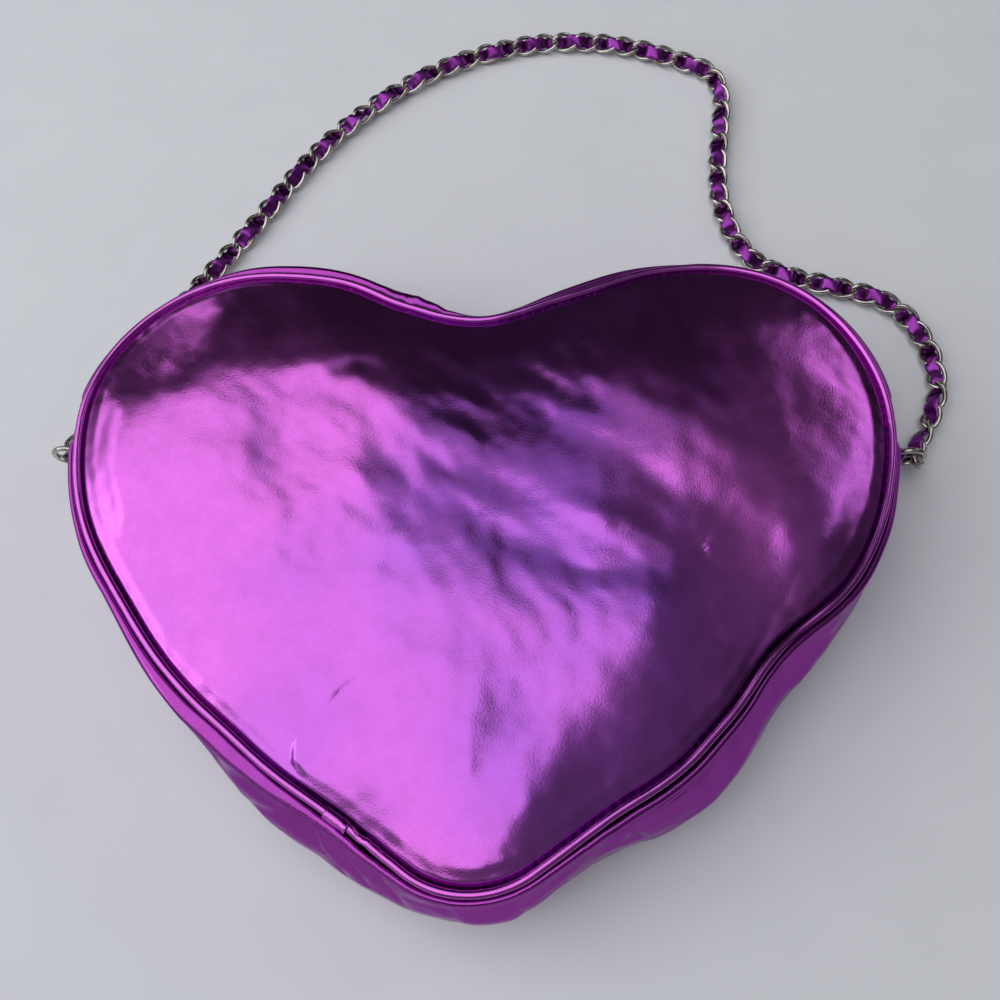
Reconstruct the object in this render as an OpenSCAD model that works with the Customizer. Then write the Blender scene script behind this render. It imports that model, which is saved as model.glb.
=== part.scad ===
// Heart shaped zip purse with a chain and ribbon strap, lying on its back.
// +Z is up through the front panel, +Y points from the tip to the lobes, +X to the right.
// The origin is in the middle of the flat back, on the surface that the purse lies on.

/* [Heart outline] */
// Distance from the middle of the purse to the centre of each lobe
lobe_x = 82; // [80:1:84]
// Radius of the outer part of each lobe
lobe_r = 67; // [65:1:69]
// Radius of the flatter crown between a lobe and the cleft
crown_r = 115; // [112:1:118]
// Steepest slope of the outline beside the cleft, in degrees
cleft_slope = 32; // [30:1:34]
// Radius of the hip below each lobe
hip_r = 119; // [116:1:121]
// Radius of the rounded tip
tip_r = 34; // [32:1:36]
// Length of the seam outline from the tip to the tops of the lobes
heart_h = 230; // [226:1:234]

/* [Body] */
// Height of the front piping's middle above the table
front_z = 50; // [48:1:54]
// Height of the back piping's middle above the table
back_z = 2.2; // [2:0.1:2.4]
// How far the front panel puffs up above the front piping
crown_h = 11; // [8:1:14]
// How far the side band bulges out over the lobes
top_bulge = 6; // [5.5:0.1:6.5]
// How far the side band bulges out along the lower sides
low_bulge = 14; // [11:0.5:14]
// Thickness of the foil coated outer material
shell_t = 1; // [0.9:0.05:1.1]
// Thickness of the foam under the front and back panels
foam_t = 2.4; // [2:0.2:2.6]
// Thickness of the lining
lining_t = 0.5; // [0.4:0.1:0.6]

/* [Piping] */
// Outer radius of the piping
piping_r = 1.6; // [1.5:0.1:1.7]
// Radius of the filler cord inside the piping
filler_r = 1; // [0.9:0.05:1.05]
// Length of the overlap sleeve where the piping's ends meet
join_len = 9; // [7:1:12]

/* [Zip] */
// Half distance between the two rows of teeth where the slider runs
row_gap = 3.5; // [3.4:0.1:3.6]
// Extra half opening in the middle of the gaping mouth
mouth_gape = 4.5; // [3:0.5:5]
// Spacing of the teeth along each row
tooth_pitch = 3; // [2.8:0.1:3.4]
// Angle of the slider on the right lobe, counted from the side seam
slider_deg = 14; // [13:1:16]
// Length of the pull tab from its pivot
pull_len = 21; // [18:1:24]

/* [Strap] */
// Width of the chain
chain_w = 9; // [8:0.5:9]
// Width of the ribbon woven through the chain
ribbon_w = 4.4; // [4:0.2:4.4]
// Radius of the end rings, to the middle of the wire
ring_r = 6; // [5.8:0.1:6.2]
// Radius of the end rings' wire
ring_wire_r = 1.1; // [1:0.05:1.15]
// Height of the strap tabs' middle above the table
tab_z = 20; // [19:1:22]
// Width of the strap tabs, across the side band
tab_w = 8; // [7:0.5:8.5]

/* [Hidden] */
$fn = 48;
foil = [0.66, 0.16, 0.62];
foil_dark = [0.5, 0.1, 0.47];
lining_colour = [0.16, 0.1, 0.16];
foam_colour = [0.93, 0.9, 0.8];
filler_colour = [0.9, 0.9, 0.86];
tape_colour = [0.2, 0.08, 0.2];
nickel = [0.72, 0.71, 0.68];

lobe_y = heart_h / 2 - lobe_r;
crown_y = heart_h / 2 - crown_r;
tip_y = tip_r - heart_h / 2;
hip_x = lobe_x + lobe_r - hip_r;
// The side is the straight line that touches both the hip circle and the tip circle
side_slope = acos((hip_r - tip_r) / norm([hip_x, lobe_y - tip_y])) - atan2(hip_x, lobe_y - tip_y);
// The cleft arc starts where the crown has reached its steepest slope
cleft_r = (lobe_x - crown_r * sin(cleft_slope)) / sin(cleft_slope);
cleft_y = crown_y + (crown_r + cleft_r) * cos(cleft_slope);

// Outline pieces, counter-clockwise from the right side seam. An arc is its centre, radius,
// first angle, last angle, 1 for a convex or -1 for a concave arc, and its number of steps.
right_lobe = [lobe_x, lobe_y, lobe_r, 0, 90, 1, 12];
right_crown = [lobe_x, crown_y, crown_r, 90, 90 + cleft_slope, 1, 4];
cleft = [0, cleft_y, cleft_r, cleft_slope - 90, -90 - cleft_slope, -1, 8];
left_crown = [-lobe_x, crown_y, crown_r, 90 - cleft_slope, 90, 1, 4];
left_lobe = [-lobe_x, lobe_y, lobe_r, 90, 180, 1, 12];
left_hip = [-hip_x, lobe_y, hip_r, 180, 270 - side_slope, 1, 6];
tip = [0, tip_y, tip_r, 270 - side_slope, 270 + side_slope, 1, 8];
right_hip = [hip_x, lobe_y, hip_r, side_slope - 90, 0, 1, 6];
TOP_ARCS = [right_lobe, right_crown, cleft, left_crown, left_lobe];
side_steps = 5;

// A station is a point on the seam outline and the outward normal there
function station(arc, angle) =
    let (ray = [cos(angle), sin(angle)])
    [[arc[0], arc[1]] + arc[2] * ray, arc[5] * ray];
function arc_stations(arc) =
    [for (k = [0:arc[6] - 1]) station(arc, arc[3] + (arc[4] - arc[3]) * k / arc[6])];
function line_stations(a, b) =
    [for (k = [0:side_steps - 1]) [a[0] + (b[0] - a[0]) * k / side_steps, a[1]]];
top_stations = concat([for (arc = TOP_ARCS) each arc_stations(arc)], [station(left_lobe, 180)]);
low_stations = concat(
    arc_stations(left_hip),
    line_stations(station(left_hip, left_hip[4]), station(tip, tip[3])),
    arc_stations(tip),
    line_stations(station(tip, tip[4]), station(right_hip, right_hip[3])),
    arc_stations(right_hip),
    [station(right_hip, 0)]);
all_stations = concat(
    [for (k = [0:len(top_stations) - 2]) top_stations[k]],
    [for (k = [0:len(low_stations) - 2]) low_stations[k]]);
function at_offset(st, o, z) = [st[0][0] + o * st[1][0], st[0][1] + o * st[1][1], z];

// Length of each top arc, and the station at a distance along the top from the right seam
function arc_len(arc) = arc[2] * abs(arc[4] - arc[3]) * PI / 180;
function along(s, k = 0) =
    let (arc = TOP_ARCS[k], length = arc_len(arc))
    s <= length || k == len(TOP_ARCS) - 1
        ? station(arc, arc[3] + (arc[4] - arc[3]) * s / length)
        : along(s - length, k + 1);
top_len = [for (arc = TOP_ARCS) arc_len(arc)] * [1, 1, 1, 1, 1];
function clamp01(t) = max(0, min(1, t));
function smooth01(t) = let (c = clamp01(t)) c * c * (3 - 2 * c);

// The side band bulges out from the back seam to the front seam
band_lo = back_z + piping_r;
band_hi = front_z - piping_r;
zip_z = (band_lo + band_hi) / 2;
// The low bulge starts below the hips, is full low on the sides and eases off again round the tip
low_start = -28;
low_run = 55;
tip_share = 0.8;
function tip_ease(y) = 1 - tip_share * smooth01((tip_y - 4 - y) / (tip_r - 6));
function bulge(st) =
    top_bulge + (low_bulge - top_bulge) * smooth01((low_start - st[0][1]) / low_run) * tip_ease(st[0][1]);
function band_offset(st, z) = bulge(st) * (1 - pow(abs(2 * (z - band_lo) / (band_hi - band_lo) - 1), 2.4));

// Half opening of the zip at a distance along the top, widest between cleft and left lobe
mouth_start = 0.4;
function gape(s) = row_gap
    + mouth_gape * pow(sin(180 * clamp01((s / top_len - mouth_start) / (1 - mouth_start))), 2);

// Distances along the top at which the zip's strips and tapes have a section
tape_end_gap = 3;
zip_steps = 44;
zip_places = [for (k = [0:zip_steps]) tape_end_gap + (top_len - 2 * tape_end_gap) * k / zip_steps];

// Carries a closed profile, one list of [offset, height] points a station, along the stations.
// The first half of its points is the outer side and the second half the inner side, gone back along.
module carry(stations, profiles, closed = false) {
    n = len(stations);
    m = len(profiles[0]);
    points = [for (i = [0:n - 1], q = profiles[i]) at_offset(stations[i], q[0], q[1])];
    spans = closed ? n : n - 1;
    // Both halves of a profile split their walls along the same diagonal, so thin walls stay parallel
    walls = [for (i = [0:spans - 1], j = [0:m - 1])
        let (a = i * m + j, b = i * m + (j + 1) % m, next = ((i + 1) % n) * m, c = next + j, d = next + (j + 1) % m)
        each j < m / 2 ? [[a, b, c], [b, d, c]] : [[a, b, d], [a, d, c]]];
    end = (n - 1) * m;
    caps = closed ? [] : [for (j = [0:m / 2 - 2])
        let (a = j, b = j + 1, c = m - 2 - j, d = m - 1 - j)
        each [[d, b, a], [d, c, b], [end + a, end + b, end + d], [end + b, end + c, end + d]]];
    polyhedron(points, concat(walls, caps), convexity = 8);
}

// A skin of the side band between two heights, going down outside and up inside
function skin(st, z_top, z_low, out, t, levels) = concat(
    [for (k = [0:levels]) let (z = z_low + (z_top - z_low) * k / levels) [band_offset(st, z) - out, z]],
    [for (k = [levels:-1:0]) let (z = z_low + (z_top - z_low) * k / levels) [band_offset(st, z) - out - t, z]]);

// Outline of the heart as a flat polygon, at an offset from the seam
function heart(o) = [for (st = all_stations) [st[0][0] + o * st[1][0], st[0][1] + o * st[1][1]]];

// A puffed sheet over the heart: rings shrink towards the middle while the sheet rises
panel_gap = piping_r - 0.25;
puff_mid = [0, 6];
PUFF_RINGS = [1, 0.95, 0.85, 0.7, 0.45];
function puff(scale) = crown_h * (1 - pow(scale, 4));
module puffed_sheet(first_ring, z_rim, thickness) {
    edge = heart(-panel_gap);
    n = len(edge);
    scales = [for (k = [first_ring:len(PUFF_RINGS) - 1]) PUFF_RINGS[k]];
    rings = len(scales);
    top = [for (s = scales, p = edge) let (q = puff_mid + (p - puff_mid) * s) [q[0], q[1], z_rim + puff(s)]];
    low = [for (p = top) p - [0, 0, thickness]];
    peak = [[puff_mid[0], puff_mid[1], z_rim + puff(0)], [puff_mid[0], puff_mid[1], z_rim + puff(0) - thickness]];
    base = n * rings;
    sheet_faces = [for (r = [0:rings - 2], i = [0:n - 1])
        let (a = r * n + i, b = r * n + (i + 1) % n) each [[a, a + n, b], [b, a + n, b + n]]];
    low_faces = [for (f = sheet_faces) [f[0] + base, f[2] + base, f[1] + base]];
    last = (rings - 1) * n;
    peak_faces = [for (i = [0:n - 1]) [last + i, 2 * base, last + (i + 1) % n]];
    low_peak_faces = [for (i = [0:n - 1]) [base + last + (i + 1) % n, 2 * base + 1, base + last + i]];
    rim_faces = [for (i = [0:n - 1])
        let (j = (i + 1) % n) each [[i, j, base + i], [j, base + j, base + i]]];
    polyhedron(concat(top, low, peak),
        concat(sheet_faces, low_faces, peak_faces, low_peak_faces, rim_faces), convexity = 6);
}

module front_panel() {
    color(foil) puffed_sheet(0, front_z + shell_t / 2, shell_t);
}

module front_padding() {
    color(foam_colour) puffed_sheet(1, front_z - shell_t / 2 - 0.1, foam_t);
}

module front_lining() {
    color(lining_colour) puffed_sheet(1, front_z - shell_t / 2 - foam_t - 0.4, lining_t);
}

// The back is flat, because the purse lies on it
module flat_sheet(edge_gap, z_low, thickness) {
    translate([0, 0, z_low]) linear_extrude(thickness) polygon(heart(-edge_gap));
}

module back_panel() {
    color(foil_dark) flat_sheet(panel_gap, 0, shell_t);
}

module back_padding() {
    color(foam_colour) flat_sheet(9, shell_t, foam_t);
}

module back_lining() {
    color(lining_colour) flat_sheet(6, shell_t + foam_t + 1, lining_t);
}

band_levels = 7;
module bottom_gusset() {
    color(foil)
        carry(low_stations, [for (st = low_stations) skin(st, band_hi, band_lo, 0, shell_t, band_levels)]);
}

lining_gap = 0.65;
module bottom_gusset_lining() {
    color(lining_colour)
        carry(low_stations, [for (st = low_stations)
            skin(st, band_hi - 4, band_lo + 3.6, shell_t + lining_gap, lining_t, 4)]);
}

// One strip of the zip band lies on the tape's outer edge and ends short of the teeth.
// side is 1 for the strip at the front and -1 for the one at the back.
strip_reveal = 3;
tape_w = 7;
tape_t = 0.6;
tape_gap = 0.15;
function mirrored(profile) = [for (k = [len(profile) - 1:-1:0]) [profile[k][0], 2 * zip_z - profile[k][1]]];
function sided(profile, side) = side > 0 ? profile : mirrored(profile);
module zip_strip(side) {
    places = concat([0], zip_places, [top_len]);
    stations = [for (s = places) along(s)];
    carry(stations, [for (k = [0:len(places) - 1])
        sided(skin(stations[k], band_hi, zip_z + gape(places[k]) + strip_reveal, 0, shell_t, 3), side)]);
}
module zip_strip_lining(side) {
    stations = [for (s = zip_places) along(s)];
    carry(stations, [for (k = [0:len(zip_places) - 1])
        sided(skin(stations[k], band_hi - 4, zip_z + gape(zip_places[k]) + strip_reveal + 0.6,
            shell_t + tape_gap + tape_t + lining_gap, lining_t, 2), side)]);
}

module front_zip_strip() {
    color(foil) zip_strip(1);
}

module back_zip_strip() {
    color(foil) zip_strip(-1);
}

module front_zip_strip_lining() {
    color(lining_colour) zip_strip_lining(1);
}

module back_zip_strip_lining() {
    color(lining_colour) zip_strip_lining(-1);
}

// Piping: a strip of foil material wrapped round a filler cord, with two plies that run
// inward into the seam. The profile turns round the filler and back.
cover_t = piping_r - filler_r - 0.02;
flange_deg = 212;
flange_len = 5.5;
slit_deg = 16;
ply_dir = [cos(flange_deg), sin(flange_deg)];
ply_side = [-sin(flange_deg), cos(flange_deg)];
function ring_point(r, deg) = [r * cos(deg), r * sin(deg)];
function piping_deg(k) = flange_deg + slit_deg + (360 - 2 * slit_deg) * k / 7;
piping_profile = concat(
    [ply_dir * flange_len + ply_side * 0.45],
    [for (k = [0:7]) ring_point(piping_r, piping_deg(k))],
    [ply_dir * flange_len + ply_side * -0.45],
    [ply_dir * flange_len + ply_side * -0.1],
    [for (k = [6:-1:0]) ring_point(piping_r - cover_t, flange_deg + 8 + 344 * k / 6)],
    [ply_dir * flange_len + ply_side * 0.1]);
piping_out = 0.3;
function lifted(profile, z) = [for (q = profile) [q[0] + piping_out, q[1] + z]];
function flipped(profile, z) = [for (k = [len(profile) - 1:-1:0]) [profile[k][0] + piping_out, z - profile[k][1]]];
module piping_cover(profile) {
    carry(all_stations, [for (st = all_stations) profile], closed = true);
}
filler_profile = [for (k = [0:5]) ring_point(filler_r - 0.12, 60 * k)];

module front_piping_cover() {
    color(foil) piping_cover(lifted(piping_profile, front_z));
}

module back_piping_cover() {
    color(foil) piping_cover(flipped(piping_profile, back_z));
}

module front_piping_filler() {
    color(filler_colour) piping_cover(lifted(filler_profile, front_z));
}

module back_piping_filler() {
    color(filler_colour) piping_cover(lifted(filler_profile, back_z));
}

// The front piping's ends meet on the lower left side, under a short wrap of the same material
join_place = 0.74;
wrap_gap = 0.05;
wrap_t = 0.55;
// The wrap's lower edge stops short of the gusset, part of the way along the piping's facet
wrap_trim = 0.4;
function wrap_point(r, k) = k > 1
    ? ring_point(r, piping_deg(k))
    : (1 - wrap_trim) * ring_point(r, piping_deg(1)) + wrap_trim * ring_point(r, piping_deg(2));
wrap_profile = concat(
    [for (k = [1:6]) wrap_point(piping_r + wrap_gap + wrap_t, k)],
    [for (k = [6:-1:1]) wrap_point(piping_r + wrap_gap, k)]);
side_a = station(left_hip, left_hip[4]);
side_b = station(tip, tip[3]);
side_dir = (side_b[0] - side_a[0]) / norm(side_b[0] - side_a[0]);
join_mid = side_a[0] + (side_b[0] - side_a[0]) * join_place;
join_stations = [[join_mid - side_dir * join_len / 2, side_a[1]], [join_mid + side_dir * join_len / 2, side_a[1]]];
module piping_join() {
    color(foil_dark) carry(join_stations, [for (st = join_stations) lifted(wrap_profile, front_z)]);
}

// Zip tapes follow the inner face of the strips
module zip_tape(side) {
    stations = [for (s = zip_places) along(s)];
    carry(stations, [for (k = [0:len(zip_places) - 1])
        let (edge = zip_z + gape(zip_places[k]) - 0.2)
        sided(skin(stations[k], edge + tape_w, edge, shell_t + tape_gap, tape_t, 1), side)]);
}

module front_zip_tape() {
    color(tape_colour) zip_tape(1);
}

module back_zip_tape() {
    color(tape_colour) zip_tape(-1);
}

// Teeth straddle the inner edge of each tape
tooth_size = [1.2, 2, 2.6];
tape_mid = shell_t + tape_gap + tape_t / 2;
teeth_start = lobe_r * slider_deg * PI / 180 - 3;
teeth_count = floor((top_len - teeth_start - 12) / tooth_pitch);
module at_place(s, z) {
    st = along(s);
    p = at_offset(st, band_offset(st, z) - tape_mid, z);
    translate(p) rotate([0, 0, atan2(st[1][1], st[1][0])]) children();
}
module zip_teeth(side) {
    for (k = [0:teeth_count - 1]) {
        s = teeth_start + tooth_pitch * (k + (side > 0 ? 0 : 0.5));
        at_place(s, zip_z + side * gape(s)) cube([tooth_size[1], tooth_size[0], tooth_size[2]], center = true);
    }
}

module front_zip_teeth() {
    color(nickel) zip_teeth(1);
}

module back_zip_teeth() {
    color(nickel) zip_teeth(-1);
}

stop_size = [2.4, 3, 2.8];
module zip_top_stops() {
    s = top_len - 8;
    color(nickel) for (side = [-1, 1]) {
        at_place(s, zip_z + side * gape(s)) cube(stop_size, center = true);
    }
}

module zip_bottom_stop() {
    s = teeth_start - 5.5;
    color(nickel) at_place(s, zip_z) cube([2.4, 2.6, 2 * (row_gap + 1.6)], center = true);
}

// The slider runs round the centre of the right lobe. Its post passes between the rows.
track_r = lobe_r + top_bulge;
slider_half_z = row_gap + 2.4;
slider_len = 12;
slider_angle = slider_len / track_r * 180 / PI;
plate_t = 1.3;
outer_plate_r = track_r + 0.1;
inner_plate_r = track_r - 4.2;
flange_t = 0.9;
post_half = 1.3;
module slider_sector(r0, r1, z0, z1, from_angle, angle) {
    translate([lobe_x, lobe_y, zip_z]) rotate([0, 0, from_angle])
        rotate_extrude(angle = angle, $fn = 360) translate([r0, z0]) square([r1 - r0, z1 - z0]);
}
pivot_r = outer_plate_r + plate_t + 0.8;
module at_slider(r) {
    translate([lobe_x, lobe_y, zip_z]) rotate([0, 0, slider_deg]) translate([r, 0, 0]) children();
}
bail_r = 3;
bail_hole_r = 1.8;
bail_half_z = 1.5;
module bail() {
    at_slider(outer_plate_r + plate_t - 0.2) translate([0, 0, -bail_half_z]) linear_extrude(2 * bail_half_z)
        difference() {
            circle(bail_r);
            circle(bail_hole_r);
            translate([-bail_r - 1, -bail_r - 1]) square([bail_r + 1, 2 * bail_r + 2]);
        }
}
module zip_slider() {
    start = slider_deg - slider_angle / 2;
    color(nickel) union() {
        slider_sector(outer_plate_r, outer_plate_r + plate_t, -slider_half_z, slider_half_z, start, slider_angle);
        slider_sector(inner_plate_r, inner_plate_r + plate_t, -slider_half_z, slider_half_z, start, slider_angle);
        for (side = [0, 1]) {
            z0 = side == 0 ? -slider_half_z : slider_half_z - flange_t;
            slider_sector(outer_plate_r - 0.7, outer_plate_r + 0.1, z0, z0 + flange_t, start, slider_angle);
            slider_sector(inner_plate_r + plate_t - 0.1, inner_plate_r + plate_t + 0.45, z0, z0 + flange_t,
                start, slider_angle);
        }
        slider_sector(inner_plate_r + 0.2, outer_plate_r + 0.2, -post_half, post_half,
            slider_deg + slider_angle / 2 - 3, 2.6);
        bail();
    }
}

// The pull tab hangs on the bail by a cross bar and lies along the closing direction
pull_tilt = 3;
bar_r = 0.6;
pull_t = 1.1;
arm_z = 2.1;
pull_half = 3.4;
module zip_pull_tab() {
    color(nickel) at_slider(pivot_r) rotate([0, 0, pull_tilt]) union() {
        translate([0, 0, -pull_half]) cylinder(h = 2 * pull_half, r = bar_r);
        rotate([0, -90, 0]) translate([0, 0, -pull_t / 2]) linear_extrude(pull_t) difference() {
            union() {
                translate([-pull_half, 0]) square([2 * pull_half, pull_len - pull_half]);
                translate([0, pull_len - pull_half]) circle(pull_half);
            }
            translate([-arm_z, -1]) square([2 * arm_z, 6]);
        }
    }
}

// Strap tabs: a folded strip sewn into the side seam, open along Z for the end ring
seam_x = lobe_x + lobe_r + top_bulge;
tab_root = 1.4;
tab_hole = [5, 3.4];
tab_wall = 0.9;
tab_hole_x = seam_x + 5.5;
function tab_slot_x(w) = tab_hole_x + tab_hole[0] / 2 - w / 2;
module tab_outline(w, x0) {
    translate([x0, -w / 2]) square([tab_slot_x(tab_hole[1]) - x0, w]);
    translate([tab_slot_x(tab_hole[1]), 0]) circle(w / 2);
}
module strap_tab() {
    translate([0, lobe_y, tab_z - tab_w / 2]) linear_extrude(tab_w) difference() {
        tab_outline(tab_hole[1] + 2 * tab_wall, seam_x - tab_root);
        tab_outline(tab_hole[1], tab_hole_x - tab_hole[0] / 2);
    }
}

module right_strap_tab() {
    color(foil) strap_tab();
}

module left_strap_tab() {
    color(foil) mirror([1, 0, 0]) strap_tab();
}

// End rings hang in the tabs and turn about the tabs' own fold
ring_out = 5.2;
module end_ring() {
    translate([tab_hole_x + ring_out, lobe_y, tab_z]) rotate([90, 0, 0])
        rotate_extrude() translate([ring_r, 0]) circle(ring_wire_r, $fn = 24);
}

module right_end_ring() {
    color(nickel) end_ring();
}

module left_end_ring() {
    color(nickel) mirror([1, 0, 0]) end_ring();
}

// Route of the strap's middle, from the right end ring round behind the lobes to the left one
lay_z = chain_w / 2 + 0.1;
STRAP_ROUTE = [
    [171, 53, 9], [176, 60, 6], [181, 68, lay_z], [186, 78, lay_z], [189, 89, lay_z],
    [189, 101, lay_z], [186, 113, lay_z], [181, 123, lay_z], [173, 131, lay_z], [162, 136, lay_z],
    [150, 139.5, lay_z], [137.5, 143, lay_z], [126, 147.5, lay_z], [117, 154, lay_z], [111, 164, lay_z],
    [107, 177, lay_z], [105, 194, lay_z], [106.5, 216, lay_z], [109.5, 239, lay_z], [110, 254, lay_z],
    [105, 266, lay_z], [91, 274, lay_z], [72, 281.5, lay_z], [52, 286, lay_z], [27, 286.5, lay_z],
    [2, 281.5, lay_z], [-23, 271.5, lay_z], [-48, 255, lay_z], [-71, 233, lay_z], [-89, 209, lay_z],
    [-103.5, 184, lay_z], [-117, 161, lay_z], [-129, 142, lay_z], [-141, 122, lay_z], [-152, 102, lay_z],
    [-161, 84, lay_z], [-167, 70, lay_z], [-170, 60, 6], [-171, 53, 9]];
function unit(v) = v / norm(v);
function route_dir(k) =
    unit(STRAP_ROUTE[min(k + 1, len(STRAP_ROUTE) - 1)] - STRAP_ROUTE[max(k - 1, 0)]);
function tube_ring(k, r, sides) =
    let (along_dir = route_dir(k), side_dir = unit(cross(along_dir, [0, 0, 1])), up_dir = cross(side_dir, along_dir))
    [for (j = [0:sides - 1])
        STRAP_ROUTE[k] + r * (cos(360 * j / sides) * side_dir + sin(360 * j / sides) * up_dir)];

// A tube along the route. With a bore, its ends are flat rings.
tube_sides = 8;
module strap_tube(r, bore_r) {
    n = len(STRAP_ROUTE);
    m = tube_sides;
    outer = [for (k = [0:n - 1]) each tube_ring(k, r, m)];
    inner = bore_r > 0 ? [for (k = [0:n - 1]) each tube_ring(k, bore_r, m)] : [];
    b = n * m;
    outer_faces = [for (k = [0:n - 2], j = [0:m - 1])
        let (p = k * m + j, q = k * m + (j + 1) % m) each [[p, q, p + m], [q, q + m, p + m]]];
    inner_faces = bore_r > 0 ? [for (f = outer_faces) [f[0] + b, f[2] + b, f[1] + b]] : [];
    e = (n - 1) * m;
    ends = bore_r > 0
        ? [for (j = [0:m - 1]) let (i = (j + 1) % m)
            each [[j, b + j, i], [i, b + j, b + i], [e + j, e + i, b + e + j], [e + i, b + e + i, b + e + j]]]
        : [[for (j = [m - 1:-1:0]) j], [for (j = [0:m - 1]) e + j]];
    polyhedron(concat(outer, inner), concat(outer_faces, inner_faces, ends), convexity = 10);
}

module chain_links() {
    color(nickel) strap_tube(chain_w / 2, ribbon_w / 2 + 0.2);
}

module chain_ribbon() {
    color(foil) strap_tube(ribbon_w / 2, 0);
}

front_panel();
front_padding();
front_lining();
back_panel();
back_padding();
back_lining();
bottom_gusset();
bottom_gusset_lining();
front_zip_strip();
back_zip_strip();
front_zip_strip_lining();
back_zip_strip_lining();
front_piping_cover();
back_piping_cover();
front_piping_filler();
back_piping_filler();
piping_join();
front_zip_tape();
back_zip_tape();
front_zip_teeth();
back_zip_teeth();
zip_top_stops();
zip_bottom_stop();
zip_slider();
zip_pull_tab();
right_strap_tab();
left_strap_tab();
right_end_ring();
left_end_ring();
chain_links();
chain_ribbon();
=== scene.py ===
"""Looks for the heart shaped purse: foil leather body, lining, zip, and a chain and ribbon strap.

Lengths in this file are millimetres in the purse's own frame, and put_mesh turns them into metres.
The purse lies on its back: +Z up through the front panel, +Y towards the lobes, +X to the right.
"""
import math

import bpy
import numpy as np
from mathutils import Matrix, Quaternion, Vector


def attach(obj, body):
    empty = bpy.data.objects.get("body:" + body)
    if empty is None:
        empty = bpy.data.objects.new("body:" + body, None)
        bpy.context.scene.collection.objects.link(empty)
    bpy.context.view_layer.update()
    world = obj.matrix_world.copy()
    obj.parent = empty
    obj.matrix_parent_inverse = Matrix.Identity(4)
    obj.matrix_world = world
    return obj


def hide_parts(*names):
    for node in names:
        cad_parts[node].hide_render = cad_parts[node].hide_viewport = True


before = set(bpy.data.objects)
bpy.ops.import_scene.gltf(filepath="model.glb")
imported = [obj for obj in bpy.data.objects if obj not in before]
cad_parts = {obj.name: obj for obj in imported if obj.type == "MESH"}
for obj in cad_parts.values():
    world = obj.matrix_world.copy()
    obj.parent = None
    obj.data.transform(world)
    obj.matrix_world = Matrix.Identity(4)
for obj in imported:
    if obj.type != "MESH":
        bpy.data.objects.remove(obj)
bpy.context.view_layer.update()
scene = bpy.context.scene
MM = 0.001


# ---------------------------------------------------------------- camera
def place_camera():
    """Looks down at the purse from above the tip's side, 23 degrees from straight down."""
    right = Vector((0.9995, 0.0154, -0.0263))
    back = Vector((0.0303, -0.396, 0.918)).normalized()
    up = back.cross(right).normalized()
    right = up.cross(back)
    place = Vector((0.0184, -0.1244, 0.376))
    data = bpy.data.cameras.new("camera")
    data.lens, data.sensor_width, data.clip_start = 36, 36, 0.01
    camera = bpy.data.objects.new("camera", data)
    camera.matrix_world = Matrix((
        (right.x, up.x, back.x, place.x),
        (right.y, up.y, back.y, place.y),
        (right.z, up.z, back.z, place.z),
        (0, 0, 0, 1)))
    scene.collection.objects.link(camera)
    scene.camera = camera


place_camera()


# ---------------------------------------------------------------- meshes
def volume_sign(points, triangles):
    """Above zero where the faces of a closed shape point outwards."""
    a, b, c = (points[triangles[:, k]] for k in range(3))
    return np.einsum("ij,ij->i", a, np.cross(b, c)).sum()


def put_mesh(name, points, quads, triangles=None, uv=None, material=None):
    """Makes an object from points in millimetres, four-sided and three-sided faces.
    uv holds one pair, in metres, for each corner of each face, four-sided faces first.
    A closed shape whose faces point inwards is turned round."""
    quads = np.asarray(quads, np.int64).reshape(-1, 4)
    triangles = np.asarray([] if triangles is None else triangles, np.int64).reshape(-1, 3)
    points = np.asarray(points, float).reshape(-1, 3)
    flat = np.vstack([quads[:, [0, 1, 2]], quads[:, [0, 2, 3]], triangles])
    if volume_sign(points - points.mean(0), flat) < 0:
        quads, triangles = quads[:, ::-1], triangles[:, ::-1]
        if uv is not None:
            uv = np.concatenate([uv[:quads.size].reshape(-1, 4, 2)[:, ::-1].reshape(-1, 2),
                                 uv[quads.size:].reshape(-1, 3, 2)[:, ::-1].reshape(-1, 2)])
    corners = np.concatenate([quads.ravel(), triangles.ravel()])
    starts = np.concatenate([np.arange(len(quads)) * 4, quads.size + np.arange(len(triangles)) * 3])
    mesh = bpy.data.meshes.new(name)
    mesh.vertices.add(len(points))
    mesh.vertices.foreach_set("co", (points * MM).ravel())
    mesh.loops.add(len(corners))
    mesh.loops.foreach_set("vertex_index", corners.astype(np.int32))
    mesh.polygons.add(len(starts))
    mesh.polygons.foreach_set("loop_start", starts.astype(np.int32))
    mesh.update(calc_edges=True)
    mesh.polygons.foreach_set("use_smooth", np.ones(len(starts), bool))
    if uv is not None:
        layer = mesh.uv_layers.new(name="UVMap")
        layer.data.foreach_set("uv", np.asarray(uv, np.float32).ravel())
    mesh.validate()
    piece = bpy.data.objects.new(name, mesh)
    scene.collection.objects.link(piece)
    if material:
        mesh.materials.append(material)
    return piece


def grid_quads(rows, columns, wrap_rows):
    """Faces between the points of a grid whose columns run round, and for each corner its row and column
    before wrapping."""
    i, j = np.meshgrid(np.arange(rows if wrap_rows else rows - 1), np.arange(columns), indexing="ij")
    i, j = i.ravel(), j.ravel()
    ri = np.stack([i, i + 1, i + 1, i], 1)
    cj = np.stack([j, j, j + 1, j + 1], 1)
    return (ri % rows) * columns + cj % columns, ri, cj


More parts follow.
